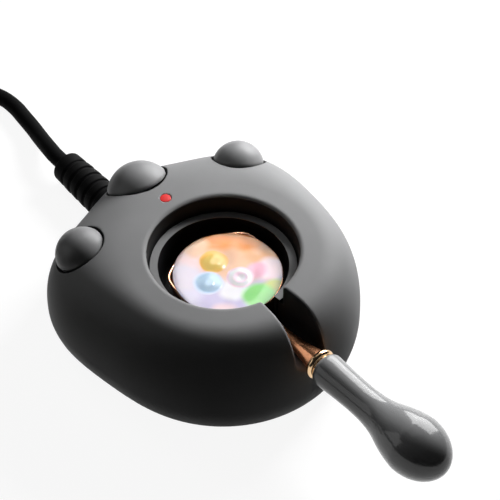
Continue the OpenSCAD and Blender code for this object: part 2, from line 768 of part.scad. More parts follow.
module cord_coil() {
    color(black_plastic) loft(tube_rings(coil_path, lead_r, 6));
}

// A strap round the coil's bundle, on the side nearest the housing
module coil_tie() {
    tie_w = 8;
    low_r = coil_out_r - coil_pitch * coil_turns / 2 - lead_r - 1;
    high_r = coil_out_r + lead_r + 1;
    inside = [high_r - low_r, coil_layer + lead_d + 2 * seat_gap];
    color("#2b2b2c") translate([coil_centre.x, coil_centre.y, 0]) rotate([0, 0, -90])
        translate([low_r, 0, tie_t + inside.y / 2]) rotate([90, 0, 0])
            linear_extrude(height = tie_w, center = true) difference() {
                translate([-tie_t, -inside.y / 2 - tie_t]) square([inside.x + 2 * tie_t, inside.y + 2 * tie_t]);
                translate([0, -inside.y / 2]) square(inside);
            }
}

// Puts its children at the plug, with +Z along the lead towards the blades
module at_plug() {
    translate(plug_at) rotate([90, 0, 0]) children();
}

module plug_body() {
    color(black_plastic) at_plug() difference() {
        union() {
            cylinder(h = plug_relief_len, r1 = lead_r + 0.8, r2 = lead_r + 1.8, $fn = 32);
            translate([0, 0, plug_relief_len]) hull() {
                cylinder(h = 1, r = lead_r + 2.4, $fn = 32);
                for (x = [-1, 1], y = [-1, 1])
                    translate([x * (plug_size.x / 2 - 3), y * (plug_size.y / 2 - 3), plug_size.z - 6])
                        cylinder(h = 6, r = 3, $fn = 32);
            }
        }
        for (x = [-1, 1]) translate([x * blade_gap / 2, 0, plug_relief_len + plug_size.z - 6])
            translate([-blade_size.x / 2, -blade_size.y / 2, 0]) cube([blade_size.x, blade_size.y, 7]);
    }
}

module plug_blades() {
    color(brass_colour) at_plug() for (x = [-1, 1])
        translate([x * blade_gap / 2 - blade_size.x / 2, -blade_size.y / 2, plug_relief_len + plug_size.z - 6])
            cube([blade_size.x, blade_size.y, blade_size.z + 6]);
}

// Half section of the bowl's outside, or of its inside when shrunk by t
function bowl_profile(t, top) =
    let (corner = 8, r = bowl_r - t)
    concat([[0, t]], arc([bowl_r - corner, corner], corner - t, -90, 0, 8), [[r, top], [0, top]]);

module pouring_lips(lift) {
    lip_r = 5;
    lip_h = 6;
    for (x = [-1, 1]) rotate([0, 0, x * lip_turn])
        translate([x * (bowl_r + lip_out - lip_r), 0, bowl_h - lip_h + lift])
        cylinder(h = lip_h, r1 = 0.8, r2 = lip_r, $fn = 48);
}

module spoon_bowl() {
    color(copper_colour) translate([0, -spoon_shift, cup_floor_z]) difference() {
        union() {
            rotate([0, 0, lip_turn]) rotate_extrude($fn = 96) polygon(bowl_profile(0, bowl_h));
            pouring_lips(0);
        }
        rotate([0, 0, lip_turn]) rotate_extrude($fn = 96) polygon(bowl_profile(bowl_t, bowl_h + cut));
        pouring_lips(1.4);
    }
}

// The neck: slim at the bowl, then a cone that widens into the collar
module spoon_neck() {
    neck_len = collar_y - bowl_r;
    flare = [[neck_r, 0], [neck_r - 0.1, 0.5 * neck_len], [0.75 * neck_r + 0.25 * neck_end_r, 0.72 * neck_len],
        [neck_end_r, neck_len]];
    color(copper_colour) difference() {
        along_spoon(bowl_r) rotate_extrude($fn = 48) polygon(concat(
            [[0, -3], [neck_r + 0.6, -3], [neck_r + 0.6, 1], [neck_r, 2.2]],
            [for (i = [1:10]) bezier(flare, i / 10)],
            [[0, neck_len]]
        ));
        translate([0, -spoon_shift, cup_floor_z]) cylinder(h = crown_z, r = bowl_r, $fn = 96);
        along_spoon(collar_y - tang_in) cylinder(h = tang_in + cut, r = tang_r + fit);
    }
}

tang_r = 1.5;
tang_in = 9;
tang_out = 34;

module spoon_collar() {
    bead = collar_t - 0.4;
    color(gold_colour) along_spoon(collar_y) difference() {
        rotate_extrude($fn = 48) polygon(concat(
            [[0, 0], [collar_r - bead / 2, 0]], arc([collar_r - bead / 2, bead / 2], bead / 2, -90, 90),
            [[collar_r - 0.9, bead], [collar_r - 0.9, collar_t], [0, collar_t]]
        ));
        translate([0, 0, -cut]) cylinder(h = collar_t + 2 * cut, r = tang_r + fit);
    }
}

// The turned handle: a slim grip that swells into a round-ended bulb
module spoon_handle() {
    edge = 2.2;
    grip = [[handle_r, edge], [0.62 * handle_r, 0.6 * handle_len], [0.8 * bulb_r, 0.48 * handle_len],
        [bulb_r, 0.75 * handle_len]];
    tip = [[bulb_r, 0.75 * handle_len], [bulb_r, 0.91 * handle_len], [0.46 * bulb_r, handle_len],
        [0, handle_len]];
    color(handle_colour) along_spoon(collar_y + collar_t) difference() {
        rotate_extrude($fn = 64) polygon(concat(
            [[0, 0]], arc([handle_r - edge, edge], edge, -90, 0, 4),
            [for (i = [1:14]) bezier(grip, i / 14)],
            [for (i = [1:10]) bezier(tip, i / 10)]
        ));
        translate([0, 0, -cut]) cylinder(h = tang_out + cut, r = tang_r + fit);
    }
}

module spoon_tang() {
    color(steel_colour) along_spoon(collar_y - tang_in + fit)
        cylinder(h = tang_in + collar_t + tang_out - 3 * fit, r = tang_r);
}

// Melted wax with three half-melted beads in it
wax_beads = [[0, 7.7, 5.2], [-7.8, 0.8, 5], [2.5, -4.2, 4.8]];

module wax_pool() {
    bead_ball = 12;
    bead_rise = 0.7;
    top = bowl_h - wax_drop;
    color(wax_colour) translate([0, -spoon_shift, cup_floor_z]) {
        rotate_extrude($fn = 96) polygon(bowl_profile(bowl_t + 0.15, top));
        for (b = wax_beads) intersection() {
            translate([b.x, b.y, top + bead_rise - bead_ball]) sphere(r = bead_ball);
            translate([b.x, b.y, top - 0.5]) cylinder(h = 3, r = b.z);
        }
    }
}

echo(coil_gap = coil_gap, toe_z = surface_z(0, toe_dist), toe_tilt = surface_tilt(0, toe_dist));
echo(spoon_axis_z = spoon_axis_z, cup_floor_z = cup_floor_z, relief_end = relief_end, plug_at = plug_at);

upper_shell();
base_plate();
foot_ring();
base_screws();
heating_cup();
cup_retaining_ring();
heater_plate();
heater_clamp();
clamp_screws();
thermal_cutout();
cutout_bracket();
bracket_rivets();
heat_shield();
toe_cap_left();
toe_cap_right();
toe_clips();
power_button();
button_clip();
switch_plunger();
push_switch();
switch_board();
board_screws();
indicator_lens();
indicator_lamp();
cord_relief();
lead_stub();
lead_clamp();
lead_clamp_screws();
lead_wires();
cord_run();
cord_coil();
coil_tie();
plug_body();
plug_blades();
spoon_bowl();
spoon_neck();
spoon_collar();
spoon_handle();
spoon_tang();
wax_pool();
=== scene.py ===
"""Looks for the paw-shaped wax seal warmer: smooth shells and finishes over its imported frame.

Shapes are worked out in millimetres, with the part's own driving dimensions,
and become metres when a mesh is made.
"""
import math

import bpy
import numpy as np
from mathutils import Matrix, Vector


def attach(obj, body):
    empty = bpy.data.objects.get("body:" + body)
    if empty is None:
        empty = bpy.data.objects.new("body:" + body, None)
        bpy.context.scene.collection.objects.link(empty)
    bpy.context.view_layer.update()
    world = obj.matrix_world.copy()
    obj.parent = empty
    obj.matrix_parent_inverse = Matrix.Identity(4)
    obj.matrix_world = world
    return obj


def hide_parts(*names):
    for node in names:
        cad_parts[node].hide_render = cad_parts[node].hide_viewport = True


MM = 0.001

# Housing, as in the part's source
PAD_R = 50.0
MID_LOBE = 13.0
SIDE_LOBE = 15.5
MID_SPREAD = 22.0
SIDE_SPREAD = 30.0
TOE_PITCH = 45.0
CROWN_Z = 42.0
CROWN_R = 34.0
WIDE_Z = 11.0
SHOULDER_POWER = 2.4
TUCK = 2.0
WALL = 2.2
EDGE_Z = 1.6
EDGE_ROUND = 0.9
BASE_TOP = 4.0
BOSS_R = 3.4
BOSS_DIST = 38.1
BOSS_ANGLES = (80.0, 140.0, -140.0, -80.0)

# Well and slot
WELL_R = 27.0
MOUTH_ROUND = 2.0
LEDGE_Z = 33.0
LEDGE_T = 2.0
FLANGE_Z = 34.5
CUP_HOLE_R = 25.0
SLOT_W = 8.8
SLOT_FLARE = 1.5
SLOT_BELOW = 4.9
SLOT_START = 19.6
SLOT_END = PAD_R + 6.0
SLOT_ROUND = 1.1
SPOON_AXIS_Z = 25.3
SPOON_TILT = 3.0
SPOON_SHIFT = 2.3

# Toes and indicator
TOE_DIST = 53.0
SIDE_TOE_R = 9.6
MID_TOE_R = 11.5
SIDE_TOE_H = 7.25
MID_TOE_H = 7.0
TOE_GAP = 0.5
SKIRT_DROP = 1.3
SIDE_RECESS = 3.0
MID_RECESS = 4.6
RECESS_ROUND = 0.7
BUTTON_SKIRT = 2.5
STEM_LEN = 9.0
STEM_R = 3.0
STEM_GAP = 0.2
PEG_R = 2.5
PEG_TAIL = 1.8
LENS_Y = 33.8
LENS_R = 1.95
LENS_FLANGE_R = 2.55
LENS_DEPTH = 2.5
LENS_SEAT = 1.5
LENS_RISE = 0.1
LENS_BALL_R = 13.0
LENS_BOSS = 1.5
LENS_ROUND = 0.3
HOLE_GAP = 0.1

# Spoon
CUP_FLOOR_Z = 19.5
BOWL_R = 20.3
BOWL_H = 12.0
BOWL_T = 1.2
BOWL_CORNER = 8.0
LIP_OUT = 1.5
LIP_TURN = 34.0
LIP_SPREAD = 12.5
LIP_HEIGHT = 6.0
NECK_R = 2.0
NECK_END_R = 4.2
NECK_FOOT = 0.6
COLLAR_Y = 49.2
COLLAR_R = 5.8
COLLAR_T = 3.2
COLLAR_STEP = 0.4
HANDLE_R = 6.3
BULB_R = 10.7
HANDLE_LEN = 59.0
HANDLE_EDGE = 2.2
WAX_DROP = 0.4
WAX_GAP = 0.15
BEAD_RISE = 0.4

# Lead
LEAD_R = 3.4
RELIEF_Z = 8.0
RELIEF_R = 7.7
RELIEF_TIP_R = 6.7
RELIEF_LEN = 37.0
RELIEF_NOSE = 7.0
RELIEF_NECK_R = 4.5
RELIEF_SEAT = -3.52
RELIEF_GAP = 0.2
FLANGE_IN_R = 5.4
FLANGE_IN_T = 1.8
RIB_COUNT = 6
RIB_ROUND = 0.5
RIB_LIP = 0.55
GROOVE_W = 1.15
GROOVE_DEPTH = 1.0
COIL_CENTRE = (-78.0, 150.0)
COIL_OUT_R = 45.0
COIL_PITCH = 7.55
COIL_LAYER = 7.55
COIL_TURNS = 4.25
COIL_CLIMB = 0.5
COIL_Z = 4.3
RUN_STEPS = 5
COIL_STEPS = 48
TAIL_STEPS = 12
TAIL_DROP = 10
STRAP_W = 9.0
STRAP_T = 0.6
STRAP_GAP = 0.25
STRAP_START = 75.0
STRAP_OVERLAP = 105.0
STRAP_STEPS = 124
LAP_START = 330.0
LAP_SPREAD = 40.0
LAP_GAP = 0.08

# Plug
PLUG_Z = 8.8
PLUG_SIZE = (22.0, 17.0, 20.0)
PLUG_RELIEF_LEN = 14.0
PLUG_START_R = LEAD_R + 1.6
PLUG_NECK_R = LEAD_R + 1.7
PLUG_GROW = PLUG_SIZE[2] - 6.0
PLUG_CORNER = 3.0
PLUG_SOFTER = 1.6
PLUG_RIB = 0.5
PLUG_RIB_PITCH = 3.2
PLUG_RIB_START = 1.4
PLUG_END_ROUND = 1.2
PLUG_NECK_ROUND = 0.5


# Shape formulas

def lobe(angle, centre, spread):
    """How much of a toe's lobe there is at an angle, from 0 to 1."""
    off = (angle - centre + 180.0) % 360.0 - 180.0
    return np.exp(-((off / spread) ** 2))


def outline(angle):
    """The paw's widest outline, at an angle in degrees from +Y towards -X."""
    side = lobe(angle, TOE_PITCH, SIDE_SPREAD) + lobe(angle, -TOE_PITCH, SIDE_SPREAD)
    return PAD_R + MID_LOBE * lobe(angle, 0.0, MID_SPREAD) + SIDE_LOBE * side


def surface_at(angle, radius):
    """Height and outward tilt in degrees of the shoulder at a plan position."""
    reach = outline(angle) - CROWN_R
    rise = CROWN_Z - WIDE_Z
    across = (radius - CROWN_R) / reach
    up = (1.0 - across ** SHOULDER_POWER) ** (1.0 / SHOULDER_POWER)
    tilt = math.degrees(math.atan(rise / reach * (across / up) ** (SHOULDER_POWER - 1.0)))
    return WIDE_Z + rise * up, tilt


def toe_place(angle):
    """The frame of a toe in millimetres: on the surface, with +Z along the toe's own axis."""
    height, tilt = surface_at(angle, TOE_DIST)
    turn = Matrix.Rotation(math.radians(angle), 4, "Z")
    lean_out = Matrix.Rotation(math.radians(-tilt), 4, "X")
    return turn @ Matrix.Translation((0.0, TOE_DIST, height)) @ lean_out


def spoon_place(distance):
    """A frame along the spoon, with +Z towards the handle's end."""
    start = Matrix.Translation((0.0, -SPOON_SHIFT, SPOON_AXIS_Z))
    lie = Matrix.Rotation(math.radians(90 - SPOON_TILT), 4, "X")
    return start @ lie @ Matrix.Translation((0.0, 0.0, distance))


# Name, frame, radius, recess depth and stem radius of each toe
TOES = [
    ("left", toe_place(TOE_PITCH), SIDE_TOE_R, SIDE_RECESS, PEG_R),
    ("middle", toe_place(0.0), MID_TOE_R, MID_RECESS, STEM_R),
    ("right", toe_place(-TOE_PITCH), SIDE_TOE_R, SIDE_RECESS, PEG_R),
]

# Route of the lead from its strain relief to the coil
RELIEF_BACK = float(outline(0.0)) + RELIEF_GAP
RELIEF_END = RELIEF_BACK + RELIEF_LEN
RUN_POINTS = [
    (0.0, RELIEF_END, RELIEF_Z), (0.0, RELIEF_END + 2 * LEAD_R, RELIEF_Z),
    (0.7, 115.0, 7.4), (1.9, 121.0, 6.1), (3.3, 127.5, 4.7), (4.6, 134.0, 3.8), (5.6, 142.0, 3.4),
    (6.3, 150.0, 3.4), (5.6, 158.0, 3.4), (2.4, 166.0, 3.4), (-3.4, 173.5, 3.4), (-11.5, 180.0, 3.4),
    (-21.0, 185.0, 3.4), (-31.5, 189.2, 3.5), (-43.0, 192.6, 3.8), (-54.0, 194.4, 4.1),
    (-63.0, COIL_CENTRE[1] + COIL_OUT_R, COIL_Z),
    (COIL_CENTRE[0] + 2 * LEAD_R, COIL_CENTRE[1] + COIL_OUT_R, COIL_Z),
]


def smooth_step(t):
    """An even ramp from 0 to 1."""
    t = np.clip(t, 0.0, 1.0)
    return t * t * (3.0 - 2.0 * t)


def spline(points, steps):
    """A smooth curve through given points."""
    p = [np.array(q) for q in points]
    last = len(p) - 1
    out = []
    for i in range(last):
        a, b, c, d = p[max(0, i - 1)], p[i], p[i + 1], p[min(last, i + 2)]
        square = 2 * a - 5 * b + 4 * c - d
        cube = 3 * b - a - 3 * c + d
        for k in range(steps):
            t = k / steps
            out.append(0.5 * (2 * b + (c - a) * t + square * t**2 + cube * t**3))
    out.append(p[last])
    return out


def bezier(p, count):
    """Points along a cubic curve, its start left out."""
    a, b, c, d = (np.array(q) for q in p)
    out = []
    for i in range(1, count + 1):
        t = i / count
        s = 1 - t
        out.append(tuple(s**3 * a + 3 * t * s**2 * b + 3 * t * t * s * c + t**3 * d))
    return out


def arc(cx, cy, radius, start, end, count):
    """Points of an arc in a profile, angles in degrees."""
    angles = [math.radians(start + (end - start) * i / count) for i in range(count + 1)]
    return [(cx + radius * math.cos(a), cy + radius * math.sin(a)) for a in angles]


def coil_point(turn):
    """A point of the coil: it spirals in and out again and climbs one layer where the spiral reverses."""
    half = COIL_TURNS / 2
    a = math.radians(90 + 360 * turn)
    r = COIL_OUT_R - COIL_PITCH * (half - abs(turn - half))
    z = COIL_Z + COIL_LAYER * float(smooth_step((turn - half + COIL_CLIMB / 2) / COIL_CLIMB))
    return np.array((COIL_CENTRE[0] + r * math.cos(a), COIL_CENTRE[1] + r * math.sin(a), z))


def lead_path():
    """The lead's whole centreline, from the strain relief to the plug."""
    run = spline(RUN_POINTS, RUN_STEPS)
    entry = [np.array((COIL_CENTRE[0] + LEAD_R, COIL_CENTRE[1] + COIL_OUT_R, COIL_Z))]
    coil = [coil_point(i / COIL_STEPS) for i in range(int(COIL_TURNS * COIL_STEPS) + 1)]
    end = coil[-1]
    drop = end[2] - PLUG_Z
    tail = []
    for k in range(1, TAIL_STEPS + 1):
        tail.append(end - np.array((0, k * LEAD_R, drop * float(smooth_step(k / TAIL_DROP)))))
    return run + entry + coil + tail


# Fields: below zero inside a solid, in millimetres

def round_meet(a, b, radius):
    """Where two solids overlap, with the edge between them rounded."""
    edge = np.hypot(np.maximum(a + radius, 0), np.maximum(b + radius, 0))
    return np.minimum(np.maximum(a, b), -radius) + edge


def paw_field(x, y, z, inset):
    """The paw's solid form, shrunk all round by inset."""
    radius = np.hypot(x, y)
    low = np.clip((z - EDGE_Z) / (WIDE_Z - EDGE_Z), 0, 1)
    reach = outline(np.degrees(np.arctan2(-x, y))) - inset - TUCK * (1 - low) ** 2 - CROWN_R
    rise = CROWN_Z - inset - WIDE_Z
    across = np.maximum(radius - CROWN_R, 0) / reach
    up = np.maximum(z - WIDE_Z, 0) / rise
    level = np.maximum((across**SHOULDER_POWER + up**SHOULDER_POWER) ** (1 / SHOULDER_POWER), 1e-4)
    bend = SHOULDER_POWER - 1
    slope = np.hypot((across / level) ** bend / reach, (up / level) ** bend / rise)
    return (level - 1) / np.maximum(slope, 0.01)


def slot_field(x, y, z, grow):
    """The trough for the spoon's neck: a U round the spoon's axis that flares outwards."""
    flare = np.clip((-y - SLOT_START) / (SLOT_END - SLOT_START), 0, 1)
    half = SLOT_W / 2 * (1 + (SLOT_FLARE - 1) * flare) + grow
    axis_z = SPOON_AXIS_Z + (-y - SPOON_SHIFT) * math.tan(math.radians(SPOON_TILT))
    below = np.minimum(z - axis_z, 0) * half / (SLOT_BELOW + grow)
    return np.maximum(np.hypot(x, below) - half, y + SLOT_START)


def post_field(place, x, y, z, radius, low):
    """A round post along a placed frame's axis, upwards from a height."""
    m = np.array(place.inverted())
    u, v, w = (m[i, 0] * x + m[i, 1] * y + m[i, 2] * z + m[i, 3] for i in range(3))
    return np.maximum(np.hypot(u, v) - radius, low - w)


def shell_field(x, y, z):
    """The upper shell: the paw with its well, slot, toe recesses and hollow."""
    radius = np.hypot(x, y)
    lens = np.hypot(x, y - LENS_Y)
    above_ledge = LEDGE_Z - LEDGE_T - z
    body = round_meet(paw_field(x, y, z, 0.0), EDGE_Z - z, EDGE_ROUND)
    body = round_meet(body, -np.maximum(radius - WELL_R, LEDGE_Z - z), MOUTH_ROUND)
    body = round_meet(body, -slot_field(x, y, z, 0.0), SLOT_ROUND)
    walls = np.maximum(radius - WELL_R - WALL, above_ledge)
    walls = np.minimum(walls, slot_field(x, y, z, WALL))
    walls = np.minimum(walls, np.maximum(lens - LENS_FLANGE_R - LENS_BOSS, above_ledge))
    for _, place, toe_r, recess, stem in TOES:
        hole_r = toe_r + TOE_GAP
        body = round_meet(body, -post_field(place, x, y, z, hole_r, -recess), RECESS_ROUND)
        body = np.maximum(body, -post_field(place, x, y, z, stem + STEM_GAP, -3 * recess))
        walls = np.minimum(walls, post_field(place, x, y, z, hole_r + WALL, -recess - WALL))
    for angle in BOSS_ANGLES:
        a = math.radians(angle)
        boss = np.hypot(x + BOSS_DIST * math.sin(a), y - BOSS_DIST * math.cos(a))
        walls = np.minimum(walls, np.maximum(boss - BOSS_R, BASE_TOP - z))
    hollow = np.maximum(paw_field(x, y, z, WALL), -walls)
    body = np.maximum(body, -hollow)
    body = np.maximum(body, CUP_HOLE_R - radius)
    body = round_meet(body, LENS_R + HOLE_GAP - lens, LENS_ROUND)
    gland = np.maximum(np.hypot(x, z - RELIEF_Z) - RELIEF_NECK_R - HOLE_GAP, PAD_R - y)
    return np.maximum(body, -gland)


def plug_field(x, y, z):
    """The plug's body, with +Z along the lead: a round neck that widens into a soft block."""
    width, thick, length = PLUG_SIZE
    grow = smooth_step((z - PLUG_RELIEF_LEN) / PLUG_GROW)
    half_x = PLUG_START_R + (width / 2 - PLUG_START_R) * grow
    half_y = PLUG_START_R + (thick / 2 - PLUG_START_R) * grow
    corner = PLUG_CORNER + PLUG_SOFTER * (1 - grow)
    over_x = np.maximum(np.abs(x) - half_x + corner, 0)
    over_y = np.maximum(np.abs(y) - half_y + corner, 0)
    side = np.hypot(over_x, over_y) - corner
    wave = np.cos(2 * math.pi * (z - PLUG_RIB_START) / PLUG_RIB_PITCH)
    ribs = PLUG_RIB * np.clip(wave * 4, 0, 1) * (z < PLUG_RELIEF_LEN - 1)
    neck = np.hypot(x, y) - PLUG_NECK_R + ribs
    body = np.where(z < PLUG_RELIEF_LEN, neck, side)
    body = round_meet(body, z - PLUG_RELIEF_LEN - length, PLUG_END_ROUND)
    return round_meet(body, -z, PLUG_NECK_ROUND)


# Mesh makers

def add_mesh(name, points, faces, normals=None):
    """A smooth-shaded mesh object from points in millimetres."""
    mesh = bpy.data.meshes.new(name)
    mesh.from_pydata([tuple(c * MM for c in p) for p in points], [], faces)
    mesh.polygons.foreach_set("use_smooth", [True] * len(mesh.polygons))
    if normals is not None:
        mesh.normals_split_custom_set_from_vertices([tuple(n) for n in normals])
    mesh.update()
    obj = bpy.data.objects.new(name, mesh)
    bpy.context.scene.collection.objects.link(obj)
    return obj


def field_slope(field, points, reach=0.05):
    """A field's value and gradient at points."""
    x, y, z = points.T
    slope = np.stack([
        field(x + reach, y, z) - field(x - reach, y, z),
        field(x, y + reach, z) - field(x, y - reach, z),
        field(x, y, z + reach) - field(x, y, z - reach),
    ], 1) / (2 * reach)
    return field(x, y, z), slope


def skin_points(field, low, high, step):
    """Points and faces of a field's zero level: one point in each crossed cell, settled on the level."""
    axes = [np.arange(low[i], high[i] + step, step) for i in range(3)]
    inside = field(*np.meshgrid(*axes, indexing="ij")) < 0
    nx, ny, nz = (size - 1 for size in inside.shape)
    count = sum(
        inside[i:nx + i, j:ny + j, k:nz + k].astype(np.int8)
        for i in (0, 1) for j in (0, 1) for k in (0, 1)
    )
    cells = np.argwhere((count > 0) & (count < 8))
    index = np.full(count.shape, -1, dtype=np.int64)
    index[tuple(cells.T)] = np.arange(len(cells))
    points = np.array([a[0] for a in axes]) + (cells + 0.5) * step
    faces = []
    for axis in range(3):
        u, v = (axis + 1) % 3, (axis + 2) % 3
        near = np.take(inside, range(inside.shape[axis] - 1), axis)
        far = np.take(inside, range(1, inside.shape[axis]), axis)
        edges = np.argwhere(near != far)
        edges = edges[(edges[:, u] > 0) & (edges[:, v] > 0)]
        edges = edges[(edges[:, u] < inside.shape[u] - 1) & (edges[:, v] < inside.shape[v] - 1)]
        corners = []
        for du, dv in ((-1, -1), (0, -1), (0, 0), (-1, 0)):
            cell = edges.copy()
            cell[:, u] += du
            cell[:, v] += dv
            corners.append(index[tuple(cell.T)])
        quads = np.stack(corners, 1)
        outward = near[tuple(edges.T)]
        quads[~outward] = quads[~outward][:, ::-1]
        faces.append(quads)
    for _ in range(5):
        value, slope = field_slope(field, points)
        move = value[:, None] * slope / np.maximum((slope**2).sum(1), 0.05)[:, None]
        points = points - np.clip(move, -0.6 * step, 0.6 * step)
    _, slope = field_slope(field, points)
    normals = slope / np.maximum(np.linalg.norm(slope, axis=1), 1e-9)[:, None]
    return points, np.concatenate(faces), normals


def skin(name, field, low, high, step, place=None):
    """A mesh object over a field's zero level, put in a frame if one is given."""
    points, faces, normals = skin_points(field, low, high, step)
    if place is not None:
        m = np.array(place)
        points = points @ m[:3, :3].T + m[:3, 3]
        normals = normals @ m[:3, :3].T
    return add_mesh(name, points.tolist(), faces.tolist(), normals.tolist())


def lathe(name, profile, place=None, sides=96, shape=None):
    """A turned piece: a profile of (radius, height) about +Z, closed where the radius is zero.

    shape, if given, changes a point's radius by its angle and height.
    """
    place = place or Matrix.Identity(4)
    points, faces, rings = [], [], []
    for radius, height in profile:
        if radius < 1e-6:
            rings.append([len(points)] * sides)
            points.append(tuple(place @ Vector((0.0, 0.0, height))))
            continue
        ring = []
        for k in range(sides):
            a = 2 * math.pi * k / sides
            r = shape(radius, a, height) if shape else radius
            ring.append(len(points))
            points.append(tuple(place @ Vector((r * math.cos(a), r * math.sin(a), height))))
        rings.append(ring)
    for low, high in zip(rings, rings[1:]):
        for k in range(sides):
            n = (k + 1) % sides
            face = [low[k], low[n], high[n], high[k]]
            faces.append([v for i, v in enumerate(face) if v not in face[:i]])
    return add_mesh(name, points, faces)


# Material nodes

def set_inputs(node, values):
    """Sets a node's own inputs by name."""
    for name, value in values.items():
        node.inputs[name].default_value = value


def feed(links, sockets, values):
    """Fills inputs in turn, each with a plain value or another node's output."""
    for socket, value in zip(sockets, values):
        if isinstance(value, bpy.types.NodeSocket):
            links.new(value, socket)
        else:
            socket.default_value = value


def material(name, colour, roughness, metallic=0.0):
    """A new principled material, and its nodes, links and shader."""
    mat = bpy.data.materials.new(name)
    mat.use_nodes = True
    shader = mat.node_tree.nodes["Principled BSDF"]
    set_inputs(shader, {"Base Color": (*colour, 1.0), "Roughness": roughness, "Metallic": metallic})
    return mat, mat.node_tree.nodes, mat.node_tree.links, shader


def object_coords(nodes):
    """A point's place in object space."""
    return nodes.new("ShaderNodeTexCoord").outputs["Object"]


def split_coords(nodes, links, coords):
    """The three parts of a point's place."""
    split = nodes.new("ShaderNodeSeparateXYZ")
    links.new(coords, split.inputs["Vector"])
    return [split.outputs[axis] for axis in "XYZ"]


def noise(nodes, links, scale, detail=3.0, coords=None, output="Fac"):
    """A noise texture, in object space unless other coordinates are given."""
    coords = coords or object_coords(nodes)
    tex = nodes.new("ShaderNodeTexNoise")
    set_inputs(tex, {"Scale": scale, "Detail": detail})
    links.new(coords, tex.inputs["Vector"])
    return tex.outputs[output]


def ramp(nodes, links, value, low, high, start=0.0, end=1.0, smooth=False):
    """Maps a value's range onto another, evenly or with eased ends."""
    node = nodes.new("ShaderNodeMapRange")
    if smooth:
        node.interpolation_type = "SMOOTHSTEP"
    set_inputs(node, {"From Min": low, "From Max": high, "To Min": start, "To Max": end})
    links.new(value, node.inputs["Value"])
    return node.outputs["Result"]


def math_node(nodes, links, operation, *values):
    """A maths step on numbers."""
    node = nodes.new("ShaderNodeMath")
    node.operation = operation
    feed(links, node.inputs, values)
    return node.outputs["Value"]


def vector_node(nodes, links, operation, *values):
    """A maths step on vectors."""
    node = nodes.new("ShaderNodeVectorMath")
    node.operation = operation
    feed(links, node.inputs, values)
    return node.outputs["Value" if operation in ("LENGTH", "DISTANCE") else "Vector"]


def axis_distance(nodes, links, coords, place):
    """How far a point lies from a placed frame's axis."""
    off = vector_node(nodes, links, "SUBTRACT", coords, place.translation * MM)
    across = vector_node(nodes, links, "CROSS_PRODUCT", off, place.col[2].to_3d())
    return vector_node(nodes, links, "LENGTH", across)


def blend_colours(nodes, links, factor, first, second):
    """A colour between two, each a tuple or another node's output."""
    node = nodes.new("ShaderNodeMix")
    node.data_type = "RGBA"
    links.new(factor, node.inputs["Factor"])
    sockets = [s for s in node.inputs if s.type == "RGBA"]
    feed(links, sockets, [(*c, 1.0) if isinstance(c, tuple) else c for c in (first, second)])
    return [s for s in node.outputs if s.type == "RGBA"][0]


def bump(nodes, links, shader, height, strength, depth):
    """Surface relief from a height, its depth in millimetres."""
    node = nodes.new("ShaderNodeBump")
    set_inputs(node, {"Strength": strength, "Distance": depth * MM})
    links.new(height, node.inputs["Height"])
    links.new(node.outputs["Normal"], shader.inputs["Normal"])


# Finishes

# Most of a noise texture lies between these two values
NOISE_LOW = 0.3
NOISE_HIGH = 0.7


def moulded_plastic(name, colour, roughness, grain, depth, gloss=0.5, spread=0.12):
    """Moulded plastic or rubber: a fine spark grain, faint cloudy colour and uneven polish."""
    mat, nodes, links, shader = material(name, colour, roughness)
    set_inputs(shader, {"Specular IOR Level": gloss})
    cloud = noise(nodes, links, 45.0)
    darker = tuple(c * (1 - spread) for c in colour)
    lighter = tuple(c * (1 + spread) for c in colour)
    links.new(blend_colours(nodes, links, cloud, darker, lighter), shader.inputs["Base Color"])
    polish = ramp(nodes, links, cloud, NOISE_LOW, NOISE_HIGH, roughness - 0.04, roughness + 0.05)
    links.new(polish, shader.inputs["Roughness"])
    bump(nodes, links, shader, noise(nodes, links, grain, 2.0), 0.35, depth)
    return mat


def turned_metal(name, colour, roughness, line_scale, stretch):
    """Polished metal with fine turning lines across one axis and slight tarnish."""
    mat, nodes, links, shader = material(name, colour, roughness, 1.0)
    mapping = nodes.new("ShaderNodeMapping")
    mapping.inputs["Scale"].default_value = stretch
    links.new(object_coords(nodes), mapping.inputs["Vector"])
    lines = noise(nodes, links, line_scale, 2.0, mapping.outputs["Vector"])
    tarnish = noise(nodes, links, 120.0)
    dull = tuple(c * 0.82 for c in colour)
    links.new(blend_colours(nodes, links, tarnish, colour, dull), shader.inputs["Base Color"])
    polish = ramp(nodes, links, lines, NOISE_LOW, NOISE_HIGH, roughness - 0.05, roughness + 0.07)
    links.new(polish, shader.inputs["Roughness"])
    bump(nodes, links, shader, lines, 0.12, 0.02)
    return mat


def dress(obj, mat, body, slot, *nodes):
    """Gives a piece its material and body and hides the CAD nodes that it stands for; its slot is not used.
    """
    obj.data.materials.clear()
    obj.data.materials.append(mat)
    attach(obj, body)
    if nodes:
        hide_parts(*nodes)
    return obj


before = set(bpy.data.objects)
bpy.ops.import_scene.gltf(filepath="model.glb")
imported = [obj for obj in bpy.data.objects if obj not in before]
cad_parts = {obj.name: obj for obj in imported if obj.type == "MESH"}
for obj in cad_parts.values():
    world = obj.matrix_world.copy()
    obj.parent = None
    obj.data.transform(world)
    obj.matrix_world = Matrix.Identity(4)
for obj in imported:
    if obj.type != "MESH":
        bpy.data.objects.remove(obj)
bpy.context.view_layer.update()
scene = bpy.context.scene

# Camera: the photograph's view, from the left front and above

VIEW_TURN = math.radians(39.4)
VIEW_RISE = math.radians(46.5)
VIEW_DISTANCE = 550.0
PIXELS_PER_MM = 2.82
IMAGE_SIZE = 500.0
RIM_PIXEL = (223.2, 249.5)
SENSOR = 36.0

